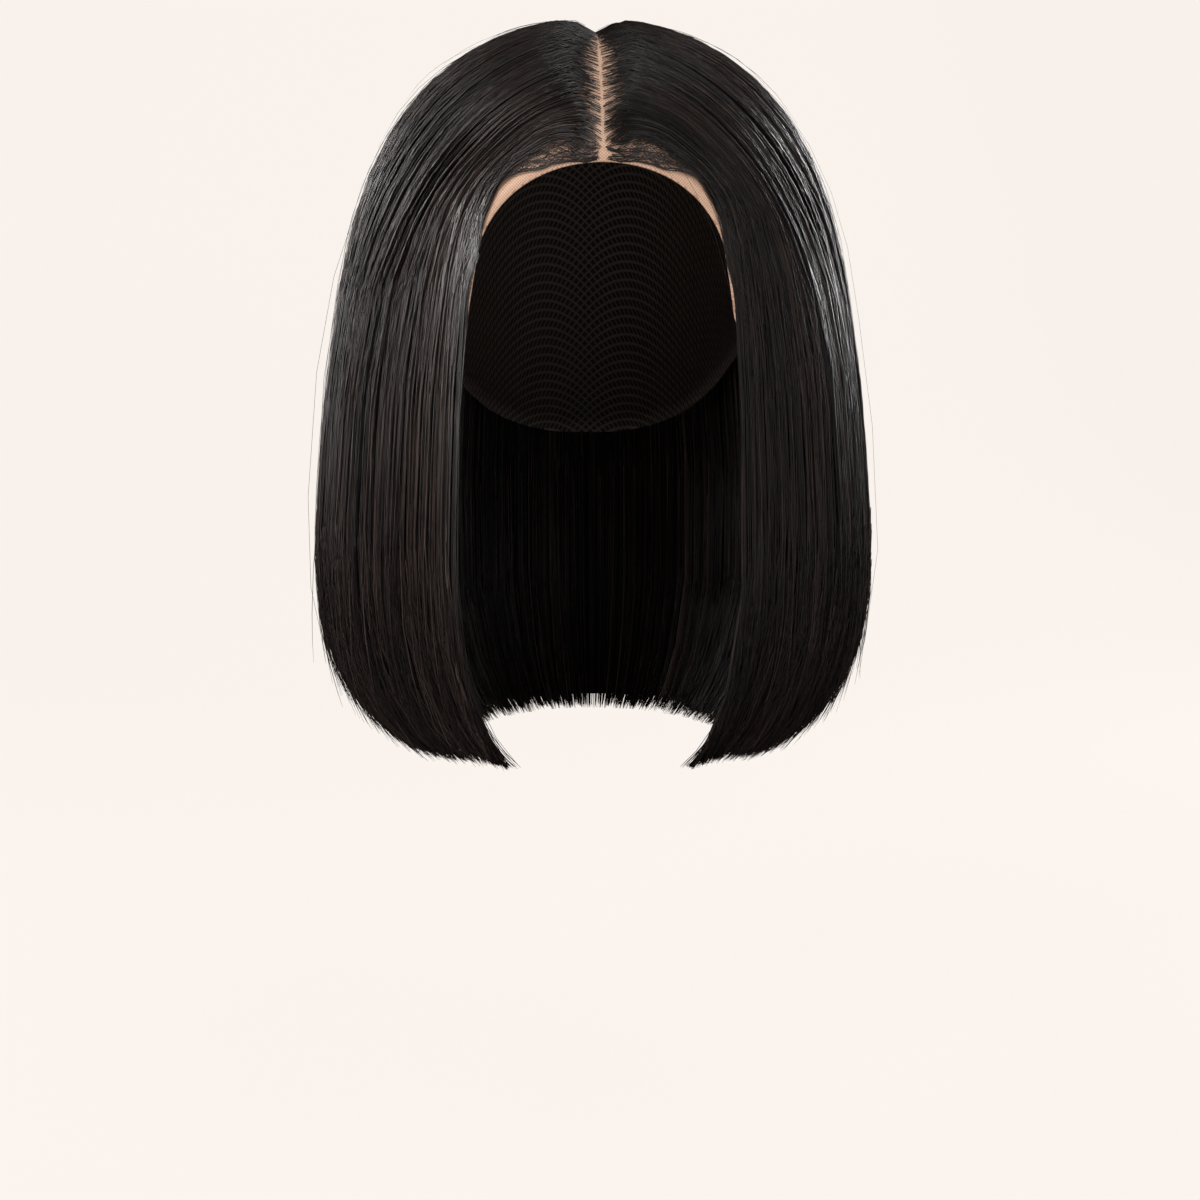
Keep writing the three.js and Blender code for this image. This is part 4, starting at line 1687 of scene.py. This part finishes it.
@dataclass
class HeadOfHair:
    """All the panels of hair, as they lie round the head."""

    law: HairLaw
    combing: Combing = field(default_factory=Combing)
    top_panels: tuple[tuple[str, float, float, str], ...] = (
        ("hair_front", 0.0, 0.2, "whole"),
        ("hair_temple", 0.2, 0.4, "top"),
        ("hair_ear", 0.4, 0.6, "top"),
        ("hair_nape_side", 0.6, 0.8, "top"),
        ("hair_back", 0.8, 1.0, "top"),
    )
    under_panels: tuple[tuple[str, float, float], ...] = (
        ("under_hair_side", 0.2, 0.6),
        ("under_hair_back", 0.6, 1.0),
    )

    def _top(self, number: int, side: Side, locks: Locks) -> HairPanel:
        """Sets out one panel of the top layer.

        Args:
            number: The panel's place in its layer.
            side: The side of the head.
            locks: The locks of that side.

        Returns:
            The panel.
        """
        name, low, high, layer = self.top_panels[number]
        front = number == 0
        return HairPanel(
            law=self.law,
            node=f"{name}_{side.word}",
            span=(low, high),
            side=side,
            seed=100 + 10 * number + (side is Side.RIGHT),
            layer=layer,
            locks=locks,
            strands=600 if front else 570,
            end_strands=220,
            short_ends=340,
            inner_strands=150 if front else 0,
            line_strands=210 if front else 0,
            baby_hairs=150 if front else 0,
            flyaways=10,
            crown_hairs=12 if low < self.law.crown_share else 8,
        )

    def _under(self, number: int, side: Side, locks: Locks) -> HairPanel:
        """Sets out one panel of the under layer.

        Args:
            number: The panel's place in its layer.
            side: The side of the head.
            locks: The locks of that side.

        Returns:
            The panel.
        """
        name, low, high = self.under_panels[number]
        return HairPanel(
            law=self.law,
            node=f"{name}_{side.word}",
            span=(low, high),
            side=side,
            seed=500 + 10 * number + (side is Side.RIGHT),
            layer="under",
            locks=locks,
            end_strands=190,
            inner_strands=350,
        )

    def build(self, hair: bpy.types.Material, mass: bpy.types.Material) -> list[bpy.types.Object]:
        """Builds every panel on both sides.

        Args:
            hair: The finish of the strands.
            mass: The finish of the hair under them.

        Returns:
            The finished pieces.
        """
        sweep = StrandSweep(hair)
        made = []
        for side in Side:
            locks = Locks(self.combing, 7 + (side is Side.RIGHT))
            tops = [self._top(number, side, locks) for number in range(len(self.top_panels))]
            unders = [self._under(number, side, locks) for number in range(len(self.under_panels))]
            made += [panel.build(sweep, mass, "hair") for panel in tops]
            made += [panel.build(sweep, mass, "under_hair") for panel in unders]
        return made


@dataclass
class Cap:
    """The cap: a lace front that carries the parting, and a net over the back."""

    law: HairLaw
    lace_depth: float = 104 * MM
    lace_margin: float = 4.2 * MM
    rim_squareness: float = 2.0
    seam_gap: float = 0.4 * MM
    tab_start: float = 47.0
    tab_drop: float = -13.0
    rims: tuple[tuple[float, float], ...] = (
        (0, 215), (12, 215.5), (24, 216), (36, 216), (48, 214), (60, 208), (68, 201), (76, 190),
    )
    tab_width: float = 9.0
    seam_narrowing: float = 0.72
    seam_turn: float = 8.0
    steps_across: int = 60
    lace_rows: int = 14
    net_rows: int = 30
    map_size: float = 0.5
    map_corner: float = 0.3

    def point(self, lean: np.ndarray, out: np.ndarray, offset: float) -> np.ndarray:
        """Finds points on the cap.

        Args:
            lean: Angles over the head from front to back.
            out: Angles out from its middle to an ear.
            offset: Height over the head.

        Returns:
            The points, in metres.
        """
        law = self.law
        return np.stack(
            [
                (law.half_width + offset) * np.sin(out),
                -(law.half_length + offset) * np.cos(out) * np.cos(lean),
                (law.head_dome + offset) * np.cos(out) * np.sin(lean) - law.head_dome,
            ],
            axis=-1,
        )

    def front_rim(self, out: np.ndarray) -> np.ndarray:
        """Lean of the front rim: along the hairline, then down to a tab before the ear.

        Args:
            out: Angles out from the middle.

        Returns:
            Angles over the head.
        """
        law = self.law
        opening = math.asin(law.half_opening / law.half_width)
        across = np.minimum(1, np.abs(out) / opening)
        rise = math.sin(law.hairline_lean) * np.sqrt(1 - across**self.rim_squareness)
        hairline = np.arcsin(np.clip(rise / np.cos(out), -1, 1)) - self.lace_margin / law.half_length
        tab = smoothstep(np.degrees(np.abs(out)), self.tab_start - self.tab_width, self.tab_start)
        return mix(hairline, math.radians(self.tab_drop), tab)

    def seam(self, out: np.ndarray) -> np.ndarray:
        """Lean of the seam between the lace and the net.

        Args:
            out: Angles out from the middle.

        Returns:
            Angles over the head.
        """
        toward_ear = smoothstep(np.degrees(np.abs(out)), self.seam_turn, self.rims[-1][0])
        narrowing = 1 - self.seam_narrowing * toward_ear
        return self.front_rim(out) + self.lace_depth / self.law.half_length * narrowing

    def nape(self, out: np.ndarray) -> np.ndarray:
        """Lean of the back rim."""
        outs, leans = zip(*self.rims)
        return np.radians(np.interp(np.degrees(np.abs(out)), outs, leans))

    def _strip(
        self,
        name: str,
        rims: tuple[np.ndarray, np.ndarray],
        rows: int,
        material: bpy.types.Material,
    ) -> bpy.types.Object:
        """Builds a strip of the cap as a closed wall with an even map of its surface.

        Args:
            name: The piece's name.
            rims: Leans of its front and back rims, for each angle out.
            rows: Number of quads from rim to rim.
            material: Its finish.

        Returns:
            The finished piece.
        """
        reach = math.radians(self.rims[-1][0])
        out = np.linspace(reach, -reach, self.steps_across + 1)[None, :]
        share = np.linspace(0, 1, rows + 1)[:, None]
        lean = mix(*rims, share)
        out = out + 0 * lean
        outer = self.point(lean, out, self.law.cap_wall)
        inner = self.point(lean, out, 0.0)
        points = np.concatenate([outer.reshape(-1, 3), inner.reshape(-1, 3)])
        mesh = bpy.data.meshes.new(name)
        faces = wall_faces(rows + 1, self.steps_across + 1, False)
        mesh.from_pydata(points.tolist(), [], faces.tolist())
        corners = np.zeros(len(mesh.loops), np.int32)
        mesh.loops.foreach_get("vertex_index", corners)
        flat = np.stack([out * self.law.half_width, lean * self.law.half_length * np.cos(out)], axis=-1)
        uv = np.tile(flat.reshape(-1, 2), (2, 1))[corners] / self.map_size + self.map_corner
        layer = mesh.uv_layers.new(name=BAKE_UV)
        layer.data.foreach_set("uv", uv.astype(np.float32).ravel())
        mesh.materials.append(material)
        mesh.shade_smooth()
        piece = new_object(name, mesh)
        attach(piece, "root")
        log.info("%s: %d triangles", name, triangle_count(mesh))
        return piece

    def build(self, lace: bpy.types.Material, net: bpy.types.Material) -> None:
        """Builds the lace front and the net in place of their nodes.

        Args:
            lace: The finish of the lace.
            net: The finish of the net.
        """
        reach = math.radians(self.rims[-1][0])
        out = np.linspace(reach, -reach, self.steps_across + 1)[None, :]
        half_gap = self.seam_gap / 2 / self.law.half_length
        front_rims = self.front_rim(out), self.seam(out) - half_gap
        front = self._strip("lace_front_sheet", front_rims, self.lace_rows, lace)
        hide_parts("lace_front")
        back_rims = self.seam(out) + half_gap, self.nape(out)
        back = self._strip("cap_net_sheet", back_rims, self.net_rows, net)
        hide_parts("cap_net")


@dataclass(frozen=True)
class Softbox:
    """A soft square light that looks at the wig."""

    name: str
    place: tuple[float, float, float]
    size: float
    power: float
    colour: tuple[float, float, float]

    def build(self, aim: Vector) -> None:
        """Hangs the light and turns it to its aim.

        Args:
            aim: The point that it looks at.
        """
        light = bpy.data.lights.new(self.name, "AREA")
        light.shape = "SQUARE"
        light.size = self.size
        light.energy = self.power
        light.color = self.colour
        made = bpy.data.objects.new(self.name, light)
        made.location = self.place
        made.rotation_euler = (aim - Vector(self.place)).to_track_quat("-Z", "Y").to_euler()
        bpy.context.scene.collection.objects.link(made)


@dataclass(frozen=True)
class Studio:
    """The camera at the photograph's place, a pale sweep and soft lights."""

    focal_px: float = 1900.0
    image_px: float = 1200.0
    pitch: float = math.radians(7.0)
    distance: float = 817 * MM
    height: float = -135.4 * MM
    yaw: float = math.radians(2.3)
    shift: float = 0.005
    floor_level: float = -0.47
    sweep_radius: float = 0.5
    sweep_front: float = 4.0
    sweep_side: float = 5.0
    sweep_height: float = 4.0
    wall: float = 1.6
    room: tuple[float, float, float] = (249, 242, 236)
    aim: tuple[float, float, float] = (0.0, 0.0, -0.12)

    def camera(self) -> None:
        """Makes the scene's camera."""
        data = bpy.data.cameras.new("camera")
        data.sensor_width = 36.0
        data.lens = data.sensor_width * self.focal_px / self.image_px
        made = bpy.data.objects.new("camera", data)
        data.shift_x = self.shift
        ahead = (math.sin(self.yaw), math.cos(self.yaw))
        made.location = (-self.distance * ahead[0], -self.distance * ahead[1], self.height)
        made.rotation_euler = (math.pi / 2 - self.pitch, 0.0, -self.yaw)
        data.clip_start, data.clip_end = 0.01, 50.0
        bpy.context.scene.collection.objects.link(made)
        bpy.context.scene.camera = made

    def sweep(self, material: bpy.types.Material) -> None:
        """Builds the floor that curves up into the backdrop.

        Args:
            material: The finish of the paper.
        """
        turn = np.linspace(0, math.pi / 2, 25)
        curve = self.wall - self.sweep_radius * (1 - np.sin(turn))
        y = np.concatenate([[-self.sweep_front], curve, [self.wall]])
        rise = self.sweep_radius * (1 - np.cos(turn))
        z = np.concatenate([[0.0], rise, [self.sweep_height]]) + self.floor_level
        x = np.array([-self.sweep_side, self.sweep_side])
        points = np.stack([np.tile(x, len(y)), np.repeat(y, 2), np.repeat(z, 2)], axis=1)
        mesh = bpy.data.meshes.new("studio_sweep")
        mesh.from_pydata(points.tolist(), [], grid_faces(len(y), 2, flip=True).tolist())
        mesh.materials.append(material)
        mesh.shade_smooth()
        made = new_object("studio_sweep", mesh)
        made.visible_glossy = False

    def world(self) -> None:
        """Fills the room with soft pale light."""
        world = bpy.data.worlds.new("studio")
        world.use_nodes = True
        background = next(n for n in world.node_tree.nodes if n.type == "BACKGROUND")
        background.inputs["Color"].default_value = rgba(*self.room)
        background.inputs["Strength"].default_value = 1.0
        world.cycles_visibility.diffuse = False
        world.cycles_visibility.glossy = False
        bpy.context.scene.world = world

    def lights(self) -> None:
        """Hangs the softboxes."""
        aim = Vector(self.aim)
        boxes = (
            Softbox("key", (-1.0, -1.1, 0.65), 0.6, 17.0, (1.0, 0.98, 0.97)),
            Softbox("fill", (1.2, -1.0, 0.35), 0.7, 7.0, (1.0, 0.98, 0.96)),
            Softbox("top", (0.5, -0.4, 1.25), 0.6, 8.0, (1.0, 0.98, 0.97)),
            Softbox("side_right", (-1.37, 0.06, 0.3), 0.6, 21.0, (1.0, 0.98, 0.97)),
            Softbox("side_left", (1.12, 0.85, 0.3), 0.6, 24.0, (0.98, 0.98, 1.0)),
            Softbox("low", (0.3, -1.4, -0.4), 0.7, 1.5, (1.0, 1.0, 1.0)),
        )
        for box in boxes:
            box.build(aim)

    def build(self, material: bpy.types.Material) -> None:
        """Builds the whole studio.

        Args:
            material: The finish of the paper.
        """
        self.camera()
        self.sweep(material)
        self.world()
        self.lights()


def main() -> None:
    """Loads the frame, dresses the wig and sets the studio."""
    logging.basicConfig(level=logging.INFO, format="%(name)s %(message)s")
    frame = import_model()
    log.info("frame of %d nodes", len(frame["nodes"]))
    bpy.context.scene.view_settings.view_transform = "Standard"
    Studio().build(PaperFinish().build())
    law = HairLaw()
    lace = NetFinish("lace", (184, 147, 124), (224, 188, 162), 0.0018, 0.75).build()
    net = NetFinish("cap_net", (66, 57, 53), (11, 9, 9), 0.0056, 0.8).build()
    Cap(law).build(lace, net)
    pieces = HeadOfHair(law).build(HairFinish().build(), MassFinish().build())
    log.info("hair of %d triangles", sum(triangle_count(piece.data) for piece in pieces))


if __name__ == "__main__":
    main()
